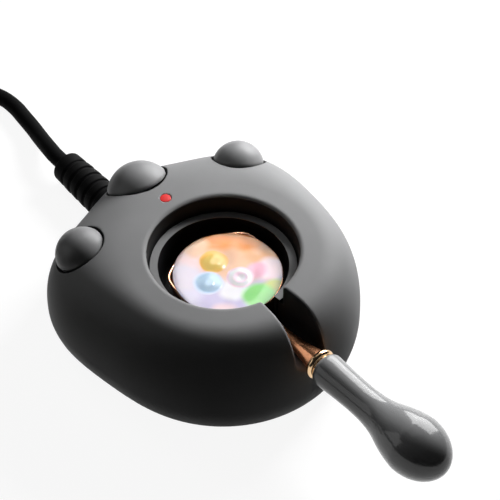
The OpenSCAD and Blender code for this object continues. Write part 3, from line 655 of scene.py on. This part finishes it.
image_right = Vector((math.cos(VIEW_TURN), -math.sin(VIEW_TURN), 0.0))
ground_away = Vector((math.sin(VIEW_TURN), math.cos(VIEW_TURN), 0.0))
view_dir = ground_away * math.cos(VIEW_RISE) - Vector((0, 0, math.sin(VIEW_RISE)))
image_up = ground_away * math.sin(VIEW_RISE) + Vector((0, 0, math.cos(VIEW_RISE)))
aim = Vector((0.0, 0.0, CROWN_Z))
aim += image_right * (IMAGE_SIZE / 2 - RIM_PIXEL[0]) / PIXELS_PER_MM
aim += image_up * (RIM_PIXEL[1] - IMAGE_SIZE / 2) / PIXELS_PER_MM
camera_data = bpy.data.cameras.new("camera")
camera_data.sensor_width = SENSOR
camera_data.lens = SENSOR * PIXELS_PER_MM * VIEW_DISTANCE / IMAGE_SIZE
camera = bpy.data.objects.new("camera", camera_data)
camera.location = (aim - view_dir * VIEW_DISTANCE) * MM
camera.rotation_euler = view_dir.to_track_quat("-Z", "Y").to_euler()
scene.collection.objects.link(camera)
scene.camera = camera

# Lead: run, coil and tail on one curve, with its strap and plug

LEAD_BLACK = (0.005, 0.005, 0.0052)

path = lead_path()
lead_curve = bpy.data.curves.new("mains_lead", "CURVE")
lead_curve.dimensions = "3D"
lead_curve.bevel_depth = LEAD_R * MM
lead_curve.bevel_resolution = 6
lead_curve.use_fill_caps = True
lead_spline = lead_curve.splines.new("POLY")
lead_spline.points.add(len(path) - 1)
for spot, point in zip(lead_spline.points, path):
    spot.co = (*(point * MM), 1.0)
lead_spline.use_smooth = True
lead = bpy.data.objects.new("mains_lead", lead_curve)
scene.collection.objects.link(lead)

lead_rubber = moulded_plastic("lead_rubber", LEAD_BLACK, 0.6, 900.0, 0.03, 0.03)
dress(lead, lead_rubber, "warmer", "lead", "cord_run", "cord_coil")


def strap_section():
    """The strap's loop round the coil's turns, with a lapped tail.

    Its inner and outer points are (radius, height) in a cut through the coil.
    """
    middle = np.array((*COIL_CENTRE, 0.0))
    turns = [coil_point(turn + 0.5) - middle for turn in range(int(COIL_TURNS))]
    cords = [np.array((-turn[1], turn[2])) for turn in turns]
    inner, outer = [], []
    for i in range(STRAP_STEPS + 1):
        wound = (360.0 + STRAP_OVERLAP) * i / STRAP_STEPS
        a = math.radians(STRAP_START + wound)
        facing = np.array((math.cos(a), math.sin(a)))
        lap = float(smooth_step((wound - LAP_START) / LAP_SPREAD))
        reach = LEAD_R + STRAP_GAP + lap * (STRAP_T + LAP_GAP)
        furthest = max(cords, key=lambda cord: float(cord @ facing))
        inner.append(furthest + reach * facing)
        outer.append(furthest + (reach + STRAP_T) * facing)
    return inner, outer


def make_strap(name):
    """A woven strap across the bundle, its edges rounded, bent to the coil's own curve."""
    inner, outer = strap_section()
    half_turn = STRAP_W / 2 / (COIL_OUT_R - COIL_PITCH)
    edge = [(-1.0, 0.25), (-1.0, 0.75), (-0.94, 1.0), (-0.5, 1.0), (0.0, 1.0), (0.5, 1.0), (0.94, 1.0)]
    edge += [(1.0, 0.75), (1.0, 0.25), (0.94, 0.0), (0.5, 0.0), (0.0, 0.0), (-0.5, 0.0), (-0.94, 0.0)]
    points, faces = [], []
    for low, high in zip(inner, outer):
        for across, out in edge:
            radius, height = low + (high - low) * out
            a = across * half_turn - math.pi / 2
            x = COIL_CENTRE[0] + radius * math.cos(a)
            points.append((x, COIL_CENTRE[1] + radius * math.sin(a), height))
    count = len(edge)
    for i in range(len(inner) - 1):
        for k in range(count):
            n = (k + 1) % count
            faces.append([i * count + k, i * count + n, (i + 1) * count + n, (i + 1) * count + k])
    faces += [list(range(count))[::-1], list(range(len(points) - count, len(points)))]
    return add_mesh(name, points, faces)


strap_weave = moulded_plastic("strap_weave", (0.02, 0.02, 0.021), 0.75, 520.0, 0.12, 0.2)
strap = make_strap("lead_strap")
dress(strap, strap_weave, "warmer", "foot", "coil_tie")

plug_place = Matrix.Translation(path[-1]) @ Matrix.Rotation(math.radians(90), 4, "X")
plug_low = (-PLUG_SIZE[0] / 2 - 1, -PLUG_SIZE[1] / 2 - 1, -1)
plug_high = (PLUG_SIZE[0] / 2 + 1, PLUG_SIZE[1] / 2 + 1, PLUG_RELIEF_LEN + PLUG_SIZE[2] + 1)
plug = skin("plug_moulding", plug_field, plug_low, plug_high, 0.5, plug_place)
dress(plug, lead_rubber, "warmer", "lead", "plug_body")

# Housing

SHELL_LOW = (-60, -53, 0.5)
SHELL_HIGH = (60, 69, 43.5)
SHELL_GREY = (0.24, 0.241, 0.244)
# Painted shade: the black painted where shade falls on the well's wall, the trough's wall on +X and in the
# toes' gaps
PAINTED_SHADE_BLACK = (0.02, 0.02, 0.0205)


def shell_finish_with_painted_shade():
    """Satin grey plastic with painted shade: black painted on the well's wall, on the trough's shaded wall
    and in the toes' gaps, where shade falls.
    """
    mat = moulded_plastic("shell_plastic", SHELL_GREY, 0.5, 1400.0, 0.03, 0.06)
    nodes, links = mat.node_tree.nodes, mat.node_tree.links
    base = nodes["Principled BSDF"].inputs["Base Color"]
    grey = base.links[0].from_socket
    coords = object_coords(nodes)
    x, y, z = split_coords(nodes, links, coords)

    def maths(operation, *values):
        return math_node(nodes, links, operation, *values)

    def fade(value, low, high):
        return ramp(nodes, links, value, low * MM, high * MM)

    # Masks of painted shade: the well's wall below its rim, the trough's wall on +X that faces away from
    # the key lamp, and the gaps round the toes
    radius = maths("SQRT", maths("ADD", maths("MULTIPLY", x, x), maths("MULTIPLY", y, y)))
    wall = fade(radius, WELL_R + 1.0, WELL_R + 0.5)
    well_shade = maths("MULTIPLY", wall, fade(z, CROWN_Z - 0.7, CROWN_Z - 1.1))
    half = SLOT_W / 2 * MM
    half = ramp(nodes, links, y, -SLOT_START * MM, -SLOT_END * MM, half, half * SLOT_FLARE)
    trough_shade = fade(maths("SUBTRACT", x, half), 0.5, 0.25)
    trough_shade = maths("MULTIPLY", trough_shade, fade(x, -1.0, 2.0))
    trough_shade = maths("MULTIPLY", trough_shade, fade(y, -SLOT_START, -SLOT_START - 1.0))
    painted_shade = maths("MAXIMUM", well_shade, trough_shade)
    for _, toe, toe_r, _, _ in TOES:
        hole_r = toe_r + TOE_GAP
        gap_shade = fade(axis_distance(nodes, links, coords, toe), hole_r + 0.6, hole_r + 0.3)
        painted_shade = maths("MAXIMUM", painted_shade, gap_shade)
    # Paints that shade black over the grey plastic
    links.new(blend_colours(nodes, links, painted_shade, grey, PAINTED_SHADE_BLACK), base)
    return mat


shell_step = 0.65
shell = skin("housing", shell_field, SHELL_LOW, SHELL_HIGH, shell_step)
dress(shell, shell_finish_with_painted_shade(), "warmer", "shell", "upper_shell")

# Toes: the side toes are fixed caps, the middle one is the power button


def toe_profile(toe_r, dome_h, skirt_low, stem_r, stem_low):
    """A dome with a softly rounded lower edge over its skirt and stem."""
    soft = 0.3
    skirt_r = toe_r - 0.05
    ball_r = (toe_r**2 + dome_h**2) / (2 * dome_h)
    centre = dome_h - SKIRT_DROP - ball_r
    low_angle = math.degrees(math.asin((-SKIRT_DROP - centre) / ball_r))
    stem = [(0.0, stem_low), (stem_r - soft, stem_low), (stem_r, stem_low + soft), (stem_r, skirt_low)]
    skirt = [(toe_r - soft, skirt_low), (skirt_r, skirt_low + 0.25), (skirt_r, -SKIRT_DROP - soft)]
    dome = arc(0.0, centre, ball_r, low_angle + 1.2, 90.0, 28)[:-1]
    return stem + skirt + dome + [(0.0, dome_h - SKIRT_DROP)]


toe_plastic = moulded_plastic("toe_plastic", (0.24, 0.241, 0.245), 0.4, 1600.0, 0.02, 0.22)
for side, place, toe_r, recess, stem in TOES:
    pressed = side == "middle"
    height = MID_TOE_H if pressed else SIDE_TOE_H
    skirt_low = -BUTTON_SKIRT if pressed else -recess
    stem_low = -STEM_LEN if pressed else -recess - WALL - PEG_TAIL
    toe = lathe("toe_" + side, toe_profile(toe_r, height, skirt_low, stem, stem_low), place)
    node = "power_button" if pressed else "toe_cap_" + side
    dress(toe, toe_plastic, "power_button" if pressed else "warmer", "toe", node)

# Indicator


def lens_finish():
    """Red plastic with a faint glow of its own."""
    mat, nodes, links, shader = material("indicator_red", (0.64, 0.022, 0.022), 0.4)
    cloud = noise(nodes, links, 300.0)
    red = blend_colours(nodes, links, cloud, (0.6, 0.02, 0.02), (0.68, 0.026, 0.026))
    links.new(red, shader.inputs["Base Color"])
    links.new(red, shader.inputs["Emission Color"])
    set_inputs(shader, {"Emission Strength": 0.12, "Specular IOR Level": 0.2})
    return mat


lens_profile = [(0.0, -LENS_DEPTH), (LENS_FLANGE_R, -LENS_DEPTH), (LENS_FLANGE_R, -LENS_SEAT)]
lens_profile += [(LENS_R, -LENS_SEAT), (LENS_R, -0.05)]
lens_profile += arc(0.0, LENS_RISE - LENS_BALL_R, LENS_BALL_R, 81.6, 90.0, 8)[:-1] + [(0.0, LENS_RISE)]
lens = lathe("indicator", lens_profile, Matrix.Translation((0.0, LENS_Y, CROWN_Z)), 48)
dress(lens, lens_finish(), "warmer", "lens", "indicator_lens")

# Strain relief


def relief_profile():
    """The relief's flange and neck in the wall, its ribs and its chamfered end, measured outwards."""
    flange = RELIEF_SEAT - FLANGE_IN_T
    points = [(0.0, flange), (FLANGE_IN_R - 0.2, flange), (FLANGE_IN_R, flange + 0.2)]
    points += [(FLANGE_IN_R, RELIEF_SEAT), (RELIEF_NECK_R, RELIEF_SEAT), (RELIEF_NECK_R, 0.0)]
    nose = RELIEF_LEN - RELIEF_NOSE
    pitch = nose / RIB_COUNT
    taper = (RELIEF_R - RELIEF_TIP_R) / RELIEF_LEN
    for i in range(RIB_COUNT):
        y = i * pitch
        r = RELIEF_R - taper * y
        points += arc(r - RIB_ROUND, y + RIB_ROUND, RIB_ROUND, -90, 0, 4)
        points += arc(r - RIB_LIP - 0.2, y + pitch - GROOVE_W - 0.7, RIB_LIP, 5, 90, 5)
        points += [(r - GROOVE_DEPTH, y + pitch - GROOVE_W), (r - GROOVE_DEPTH, y + pitch - 0.1)]
    points += arc(RELIEF_TIP_R - 0.6, nose + 0.6, 0.6, -90, 0, 4)
    points += arc(RELIEF_TIP_R - 0.7, RELIEF_LEN - 1.9, 0.5, 0, 60, 5)
    return points + [(LEAD_R + 1.0, RELIEF_LEN - 0.25), (LEAD_R + 0.5, RELIEF_LEN), (0.0, RELIEF_LEN)]


relief_place = Matrix.Translation((0.0, RELIEF_BACK, RELIEF_Z)) @ Matrix.Rotation(math.radians(-90), 4, "X")
relief = lathe("strain_relief", relief_profile(), relief_place, 64)
relief_rubber = moulded_plastic("relief_rubber", LEAD_BLACK, 0.6, 1000.0, 0.03, 0.06)
dress(relief, relief_rubber, "warmer", "lead", "cord_relief")

# Spoon: bowl, neck, collar and handle

COPPER = (0.80, 0.42, 0.26)
NECK_COPPER = (0.92, 0.42, 0.22)
GOLD = (0.95, 0.65, 0.38)

bowl_place = Matrix.Translation((0.0, -SPOON_SHIFT, CUP_FLOOR_Z))


def pouring_lips(radius, angle, height):
    """Pulls the bowl's upper edge out into two pouring lips, turned from its sides towards the far edge."""
    turn = math.radians(LIP_TURN)
    off = min(abs(angle - turn), abs(angle - math.pi + turn))
    width = math.exp(-((off / math.radians(LIP_SPREAD)) ** 2))
    rise = float(smooth_step((height - BOWL_H + LIP_HEIGHT) / LIP_HEIGHT))
    return radius + LIP_OUT * width * rise * rise


inner_corner = BOWL_CORNER - BOWL_T
centre_r = BOWL_R - BOWL_CORNER
wall_heights = np.linspace(BOWL_CORNER + 0.4, BOWL_H - 0.8, 8)
bowl_profile = [(0.0, 0.0)] + arc(centre_r, BOWL_CORNER, BOWL_CORNER, -90, 0, 14)
bowl_profile += [(BOWL_R, z) for z in wall_heights]
bowl_profile += arc(BOWL_R - BOWL_T / 2, BOWL_H - BOWL_T / 2, BOWL_T / 2, 0, 180, 8)
bowl_profile += [(BOWL_R - BOWL_T, z) for z in wall_heights[::-1]]
bowl_profile += arc(centre_r, BOWL_CORNER, inner_corner, 0, -90, 14) + [(0.0, BOWL_T)]
bowl = lathe("bowl", bowl_profile, bowl_place, 192, pouring_lips)
copper = turned_metal("copper", COPPER, 0.2, 900.0, (1.0, 1.0, 6.0))
dress(bowl, copper, "spoon", "copper", "spoon_bowl")

neck_len = COLLAR_Y - BOWL_R
foot_r = NECK_R + NECK_FOOT
flare = [
    (NECK_R, 0.0), (NECK_R - 0.1, 0.5 * neck_len), (0.75 * NECK_R + 0.25 * NECK_END_R, 0.72 * neck_len),
    (NECK_END_R, neck_len),
]
neck_profile = [(0.0, -0.3), (foot_r, -0.3), (foot_r, 0.9), (NECK_R + 0.35, 1.5), (NECK_R, 2.4)]
neck_profile += [p for p in bezier(flare, 40) if p[1] > 2.6] + [(0.0, neck_len)]
neck = lathe("neck", neck_profile, spoon_place(BOWL_R), 64)
neck_metal = turned_metal("neck_copper", NECK_COPPER, 0.3, 700.0, (1.0, 8.0, 1.0))
dress(neck, neck_metal, "spoon", "copper", "spoon_neck")

bead = COLLAR_T - COLLAR_STEP
collar_profile = [(0.0, 0.0), (COLLAR_R - bead / 2 - 0.6, 0.0)]
collar_profile += arc(COLLAR_R - bead / 2, bead / 2, bead / 2, -90, 90, 14)
collar_profile += [(COLLAR_R - 1.1, bead + 0.05), (COLLAR_R - 1.15, COLLAR_T), (0.0, COLLAR_T)]
collar = lathe("collar", collar_profile, spoon_place(COLLAR_Y), 72)
gold = turned_metal("collar_gold", GOLD, 0.17, 800.0, (1.0, 8.0, 1.0))
dress(collar, gold, "spoon", "gold", "spoon_collar")


def lacquer_finish():
    """Grey lacquer: a dull cloudy base under a clear coat."""
    mat, nodes, links, shader = material("handle_lacquer", (0.27, 0.272, 0.276), 0.42)
    cloud = noise(nodes, links, 70.0)
    grey = blend_colours(nodes, links, cloud, (0.255, 0.257, 0.261), (0.285, 0.287, 0.291))
    links.new(grey, shader.inputs["Base Color"])
    links.new(ramp(nodes, links, cloud, NOISE_LOW, NOISE_HIGH, 0.38, 0.46), shader.inputs["Roughness"])
    set_inputs(shader, {"Specular IOR Level": 0.15, "Coat Weight": 0.8, "Coat Roughness": 0.12})
    return mat


bulb_at = 0.75 * HANDLE_LEN
grip = [
    (HANDLE_R, HANDLE_EDGE), (0.62 * HANDLE_R, 0.6 * HANDLE_LEN), (0.8 * BULB_R, 0.48 * HANDLE_LEN),
    (BULB_R, bulb_at),
]
tip = [(BULB_R, bulb_at), (BULB_R, 0.91 * HANDLE_LEN), (0.46 * BULB_R, HANDLE_LEN), (0.0, HANDLE_LEN)]
handle_profile = [(0.0, 0.0)] + arc(HANDLE_R - HANDLE_EDGE, HANDLE_EDGE, HANDLE_EDGE, -90, 0, 8)
handle_profile += bezier(grip, 48) + bezier(tip, 36)
handle = lathe("handle", handle_profile, spoon_place(COLLAR_Y + COLLAR_T), 96)
dress(handle, lacquer_finish(), "spoon", "handle", "spoon_handle")

# Wax: a glossy pool with half-melted beads, coloured in soft patches

RING_BEAD = ((2.5, -4.2), 4.8)
WAX_BEADS = [((0.0, 7.7), 5.2), ((-7.8, 0.8), 5.0), RING_BEAD]
RING_DIP = 0.5
WAX_TOP = BOWL_H - WAX_DROP
WAX_R = BOWL_R - 0.45
WAX_IN_R = BOWL_R - BOWL_T - WAX_GAP
WAX_BRIM = WAX_DROP + 0.06
WAX_RIPPLE = 0.03
WAX_DRIFT = 1.6
WAX_BASE = (0.71, 0.67, 0.83)

# Place, radius, softness and colour of each patch, later ones over earlier ones
WAX_PATCHES = [
    ((9.0, 7.0), 16.5, 0.55, (0.93, 0.55, 0.34)),
    ((3.0, 20.0), 6.5, 0.6, (0.93, 0.38, 0.14)),
    ((11.0, 17.0), 8.0, 0.55, (0.92, 0.28, 0.06)),
    ((18.0, 9.0), 8.0, 0.55, (0.94, 0.34, 0.1)),
    ((20.0, -1.5), 5.5, 0.6, (0.94, 0.42, 0.18)),
    ((-8.0, 16.5), 8.0, 0.6, (0.95, 0.66, 0.65)),
    ((-1.0, 17.5), 5.5, 0.6, (0.94, 0.55, 0.36)),
    ((-14.0, 9.0), 7.5, 0.6, (0.76, 0.68, 0.78)),
    ((13.0, -8.0), 6.0, 0.55, (0.95, 0.72, 0.77)),
    ((9.3, -5.2), 4.2, 0.55, (0.94, 0.54, 0.66)),
    ((-10.5, -10.5), 9.5, 0.6, (0.56, 0.5, 0.72)),
    ((-13.0, -14.5), 5.5, 0.6, (0.86, 0.66, 0.72)),
    ((-3.5, -7.5), 5.5, 0.6, (0.86, 0.85, 0.9)),
    ((8.5, -16.5), 5.0, 0.55, (0.74, 0.8, 0.3)),
    ((1.8, -15.5), 6.2, 0.45, (0.38, 0.86, 0.32)),
    ((0.0, 7.8), 5.4, 0.16, (0.93, 0.5, 0.1)),
    ((-0.6, 7.4), 4.6, 0.5, (0.93, 0.66, 0.2)),
    ((-8.0, 0.9), 5.7, 0.2, (0.7, 0.74, 0.9)),
    ((-8.0, 0.9), 4.9, 0.25, (0.54, 0.72, 0.9)),
    ((2.6, -4.2), 5.2, 0.14, (0.94, 0.7, 0.8)),
    ((2.6, -4.2), 4.5, 0.2, (0.95, 0.92, 0.94)),
    ((2.6, -4.1), 2.9, 0.3, (0.94, 0.72, 0.83)),
    ((2.9, -4.4), 1.7, 0.5, (0.95, 0.88, 0.94)),
]


def bead_distance(x, y, bead):
    """Distance from a bead's middle, as a share of its radius."""
    (bx, by), size = bead
    return math.hypot(x - bx, y - by) / size


def wax_height(x, y):
    """The pool's top: beads that have sunk in, faint ripples and a brim that wets the bowl's edge."""
    top = WAX_TOP + WAX_BRIM * smooth_step((math.hypot(x, y) - 0.4 * WAX_R) / (0.55 * WAX_R))
    top += WAX_RIPPLE * math.sin(0.55 * x + 0.9 * math.sin(0.35 * y)) * math.cos(0.42 * y)
    for bead in WAX_BEADS:
        top += BEAD_RISE * float(1 - smooth_step((bead_distance(x, y, bead) - 0.25) / 0.75))
    return float(top - RING_DIP * (1 - smooth_step(bead_distance(x, y, RING_BEAD) / 0.62)))


def make_wax(name):
    """The pool: its top in rings from the middle outwards, then down along the bowl's inside."""
    sides, top_rings = 144, 60
    turns = [2 * math.pi * k / sides for k in range(sides)]
    circle = [(math.cos(a), math.sin(a)) for a in turns]
    rings = []
    for i in range(1, top_rings + 1):
        r = WAX_R * i / top_rings
        rings.append([(r * c, r * s, wax_height(r * c, r * s)) for c, s in circle])
    inside = [(WAX_IN_R, WAX_TOP - 0.1)]
    inside += arc(centre_r, BOWL_CORNER, inner_corner - WAX_GAP, 0, -90, 10)
    rings += [[(r * c, r * s, z) for c, s in circle] for r, z in inside]
    points = [(0.0, 0.0, wax_height(0.0, 0.0))]
    points += [p for ring in rings for p in ring]
    points.append((0.0, 0.0, BOWL_T + WAX_GAP))
    faces = [(0, 1 + k, 1 + (k + 1) % sides) for k in range(sides)]
    for i in range(len(rings) - 1):
        low = 1 + i * sides
        for k in range(sides):
            n = (k + 1) % sides
            faces.append((low + k, low + sides + k, low + sides + n, low + n))
    last = len(points) - 1
    low = last - sides
    faces += [(low + k, last, low + (k + 1) % sides) for k in range(sides)]
    return add_mesh(name, [tuple(bowl_place @ Vector(p)) for p in points], faces)


def wax_finish():
    """Melted wax: patches with drifting edges over the base colour, wet on top and lit from inside."""
    mat, nodes, links, shader = material("melted_wax", WAX_BASE, 0.09)
    coords = object_coords(nodes)
    drift = noise(nodes, links, 110.0, 2.0, coords, "Color")
    spread = (WAX_DRIFT * MM, WAX_DRIFT * MM, 0.0)
    middle = (-WAX_DRIFT / 2 * MM, -WAX_DRIFT / 2 * MM, 0.0)
    shift = vector_node(nodes, links, "MULTIPLY_ADD", drift, spread, middle)
    moved = vector_node(nodes, links, "ADD", coords, shift)
    flat = vector_node(nodes, links, "MULTIPLY", moved, (1.0, 1.0, 0.0))
    colour = WAX_BASE
    for (x, y), size, blur, tint in WAX_PATCHES:
        off = vector_node(nodes, links, "DISTANCE", flat, (x * MM, (y - SPOON_SHIFT) * MM, 0.0))
        far, near = size * (1 + blur / 3) * MM, size * (1 - 2 * blur / 3) * MM
        share = ramp(nodes, links, off, far, near, smooth=True)
        colour = blend_colours(nodes, links, share, colour, tint)
    links.new(colour, shader.inputs["Base Color"])
    set_inputs(shader, {
        "Specular IOR Level": 0.12, "Coat Weight": 0.3, "Coat Roughness": 0.05,
        "Subsurface Weight": 0.5, "Subsurface Radius": (1.0, 0.85, 0.75), "Subsurface Scale": 6.0 * MM,
    })
    bump(nodes, links, shader, noise(nodes, links, 260.0, 2.0), 0.05, 0.1)
    return mat


wax = make_wax("wax")
dress(wax, wax_finish(), "spoon", "wax", "wax_pool")

# Finishes of the CAD nodes that stay


def finish_node(name, mat, edge):
    """A CAD node's material, with its edges softened where a width is given."""
    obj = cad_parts[name]
    obj.data.materials.clear()
    obj.data.materials.append(mat)
    if edge:
        soften = obj.modifiers.new("soft_edges", "BEVEL")
        soften.width = edge * MM
        soften.segments = 3
        soften.limit_method = "ANGLE"
        soften.angle_limit = math.radians(40)


def cup_finish():
    """Black hard-anodised pan whose flange has a bare grey face."""
    black = (0.01, 0.01, 0.011)
    mat, nodes, links, shader = material("cup_anodised", black, 0.45)
    set_inputs(shader, {"Specular IOR Level": 0.1})
    height = split_coords(nodes, links, object_coords(nodes))[2]
    face = ramp(nodes, links, height, (FLANGE_Z - 0.35) * MM, (FLANGE_Z - 0.2) * MM)
    cloud = noise(nodes, links, 70.0)
    grey = blend_colours(nodes, links, cloud, (0.2, 0.2, 0.202), (0.26, 0.26, 0.263))
    links.new(blend_colours(nodes, links, face, black, grey), shader.inputs["Base Color"])
    links.new(ramp(nodes, links, cloud, NOISE_LOW, NOISE_HIGH, 0.4, 0.5), shader.inputs["Roughness"])
    bump(nodes, links, shader, noise(nodes, links, 1200.0, 2.0), 0.2, 0.02)
    return mat


base_plastic = moulded_plastic("base_plastic", (0.025, 0.025, 0.026), 0.55, 900.0, 0.04)
foot_rubber = moulded_plastic("foot_rubber", (0.02, 0.02, 0.02), 0.75, 700.0, 0.05)
steel = turned_metal("screw_steel", (0.62, 0.63, 0.64), 0.3, 1200.0, (1.0, 1.0, 4.0))
aluminium = turned_metal("sheet_aluminium", (0.75, 0.76, 0.77), 0.35, 600.0, (6.0, 1.0, 1.0))
blade_metal = turned_metal("blade_nickel", (0.78, 0.72, 0.6), 0.22, 900.0, (1.0, 6.0, 1.0))
heater_stone = moulded_plastic("heater_ceramic", (0.5, 0.46, 0.4), 0.7, 500.0, 0.05)
board_green = moulded_plastic("board_green", (0.03, 0.16, 0.06), 0.35, 400.0, 0.02)
switch_black = moulded_plastic("switch_black", (0.018, 0.018, 0.02), 0.45, 900.0, 0.03)
plunger_white = moulded_plastic("plunger_white", (0.7, 0.7, 0.66), 0.4, 900.0, 0.02)
lamp_red = moulded_plastic("lamp_red", (0.6, 0.03, 0.03), 0.2, 600.0, 0.01)
wire_red = moulded_plastic("wire_sleeve", (0.3, 0.015, 0.015), 0.45, 800.0, 0.02)

# Material, width of the softened edges and nodes
NODE_FINISHES = [
    (cup_finish(), 0.3, ["heating_cup"]),
    (base_plastic, 0.3, ["base_plate"]),
    (foot_rubber, 0.4, ["foot_ring"]),
    (blade_metal, 0.35, ["plug_blades"]),
    (steel, 0.15, ["base_screws", "clamp_screws", "board_screws", "lead_clamp_screws", "bracket_rivets"]),
    (steel, 0.0, ["cup_retaining_ring", "cutout_bracket", "toe_clips", "button_clip", "spoon_tang"]),
    (aluminium, 0.0, ["heater_clamp", "heat_shield"]),
    (switch_black, 0.0, ["thermal_cutout", "push_switch", "lead_clamp"]),
    (heater_stone, 0.0, ["heater_plate"]),
    (board_green, 0.0, ["switch_board"]),
    (plunger_white, 0.0, ["switch_plunger"]),
    (lamp_red, 0.0, ["indicator_lamp"]),
    (lead_rubber, 0.0, ["lead_stub"]),
    (wire_red, 0.0, ["lead_wires"]),
]
for mat, edge, names in NODE_FINISHES:
    for name in names:
        finish_node(name, mat, edge)

# Floor

FLOOR_HALF = 3.0
FLOOR_GREY = 0.16
FLOOR_GLOW = 0.91
FLOOR_BOUNCE = 0.02


def floor_finish():
    """White to the camera and in reflections, with the shadow, and dim where light would bounce off it."""
    mat = bpy.data.materials.new("floor_white")
    mat.use_nodes = True
    nodes, links = mat.node_tree.nodes, mat.node_tree.links
    nodes.clear()
    rays = nodes.new("ShaderNodeLightPath").outputs
    seen = rays["Is Camera Ray"]
    for kind in ("Is Glossy Ray", "Is Transmission Ray"):
        seen = math_node(nodes, links, "MAXIMUM", seen, rays[kind])
    shade = nodes.new("ShaderNodeBsdfDiffuse")
    set_inputs(shade, {"Color": (FLOOR_GREY, FLOOR_GREY, FLOOR_GREY, 1.0)})
    glow = nodes.new("ShaderNodeEmission")
    set_inputs(glow, {"Strength": FLOOR_GLOW})
    pale = nodes.new("ShaderNodeAddShader")
    feed(links, pale.inputs, [shade.outputs["BSDF"], glow.outputs["Emission"]])
    dim = nodes.new("ShaderNodeBsdfDiffuse")
    set_inputs(dim, {"Color": (FLOOR_BOUNCE, FLOOR_BOUNCE, FLOOR_BOUNCE, 1.0)})
    mix = nodes.new("ShaderNodeMixShader")
    feed(links, mix.inputs, [seen, dim.outputs["BSDF"], pale.outputs["Shader"]])
    surface = nodes.new("ShaderNodeOutputMaterial").inputs["Surface"]
    links.new(mix.outputs["Shader"], surface)
    return mat


floor_corners = [(x * FLOOR_HALF, y * FLOOR_HALF, 0.0) for x, y in ((-1, -1), (1, -1), (1, 1), (-1, 1))]
floor_mesh = bpy.data.meshes.new("floor")
floor_mesh.from_pydata(floor_corners, [], [(0, 1, 2, 3)])
floor_mesh.materials.append(floor_finish())
floor = bpy.data.objects.new("floor", floor_mesh)
scene.collection.objects.link(floor)

# Lamps


def place_lamp(name, data, spot, target):
    """A lamp that faces a point, places in millimetres, and isn't seen itself."""
    lamp = bpy.data.objects.new(name, data)
    lamp.location = Vector(spot) * MM
    lamp.rotation_euler = (Vector(target) - Vector(spot)).to_track_quat("-Z", "Y").to_euler()
    lamp.visible_camera = False
    scene.collection.objects.link(lamp)
    return lamp


def area_light(name, spot, target, size, power):
    """A soft square lamp."""
    data = bpy.data.lights.new(name, "AREA")
    data.size = size * MM
    data.energy = power
    return place_lamp(name, data, spot, target)


def snooted_spot(name, spot, target, reach, blend, power, width):
    """A narrow spot that lights a round patch of the given radius."""
    data = bpy.data.lights.new(name, "SPOT")
    data.energy = power
    data.spot_size = 2 * math.atan(reach / (Vector(target) - Vector(spot)).length)
    data.spot_blend = blend
    data.shadow_soft_size = width * MM
    return place_lamp(name, data, spot, target)


MIDDLE = (0.0, 0.0, 20.0)
WAX_MIDDLE = (0.0, 0.0, 31.0)
TROUGH_END = (0.0, -42.0, 36.0)
NECK_SIDE = (0.0, -43.0, 29.0)

# The lamps over the wax's shaded half are so close above it that they stand below a lifted spoon
WAX_LAMP_RISE = 45.0

# Place on the wax, radius of the lit patch and power of each of them
WAX_LAMPS = [
    ((5.0, 15.5), 9.0, 0.0406), ((14.5, 6.5), 8.0, 0.0451), ((15.5, -6.5), 9.0, 0.0406),
    ((10.5, -0.5), 6.5, 0.0226), ((11.5, 13.0), 6.5, 0.0248), ((7.5, -11.5), 6.5, 0.018),
]

key = area_light("key", (247.7, 69.1, 174.5), MIDDLE, 120.0, 1.66)
key.visible_glossy = False
softbox = area_light("softbox", (628.0, 236.0, 456.0), MIDDLE, 700.0, 10.4)
softbox.visible_diffuse = False
area_light("top", (60.0, 260.0, 850.0), MIDDLE, 500.0, 0.3)
rim_lamp = area_light("rim", (-35.0, 525.0, 462.0), MIDDLE, 200.0, 0.4)
rim_lamp.visible_glossy = False
left_card = area_light("left_card", (-380.0, 222.0, 223.0), TROUGH_END, 300.0, 0.25)
left_card.visible_diffuse = False
for (x, y), reach, power in WAX_LAMPS:
    patch = Vector((x, y - SPOON_SHIFT, CUP_FLOOR_Z + WAX_TOP))
    above = patch + Vector((0.0, 0.0, WAX_LAMP_RISE))
    snooted_spot("wax_spot", above, patch, reach, 0.9, power, 2.0)
sparkle = snooted_spot("sparkle", (278.0, 243.0, 503.0), WAX_MIDDLE, 16.0, 0.3, 6.0, 24.0)
sparkle.visible_diffuse = False
neck_card = area_light("neck_card", (-5.2, -43.0, 31.0), NECK_SIDE, 10.0, 0.00022)
neck_card.visible_diffuse = False

world = bpy.data.worlds.new("studio")
world.use_nodes = True
scene.world = world
set_inputs(world.node_tree.nodes["Background"], {"Strength": 0.014, "Color": (1.0, 1.0, 1.0, 1.0)})

scene.view_settings.view_transform = "Standard"
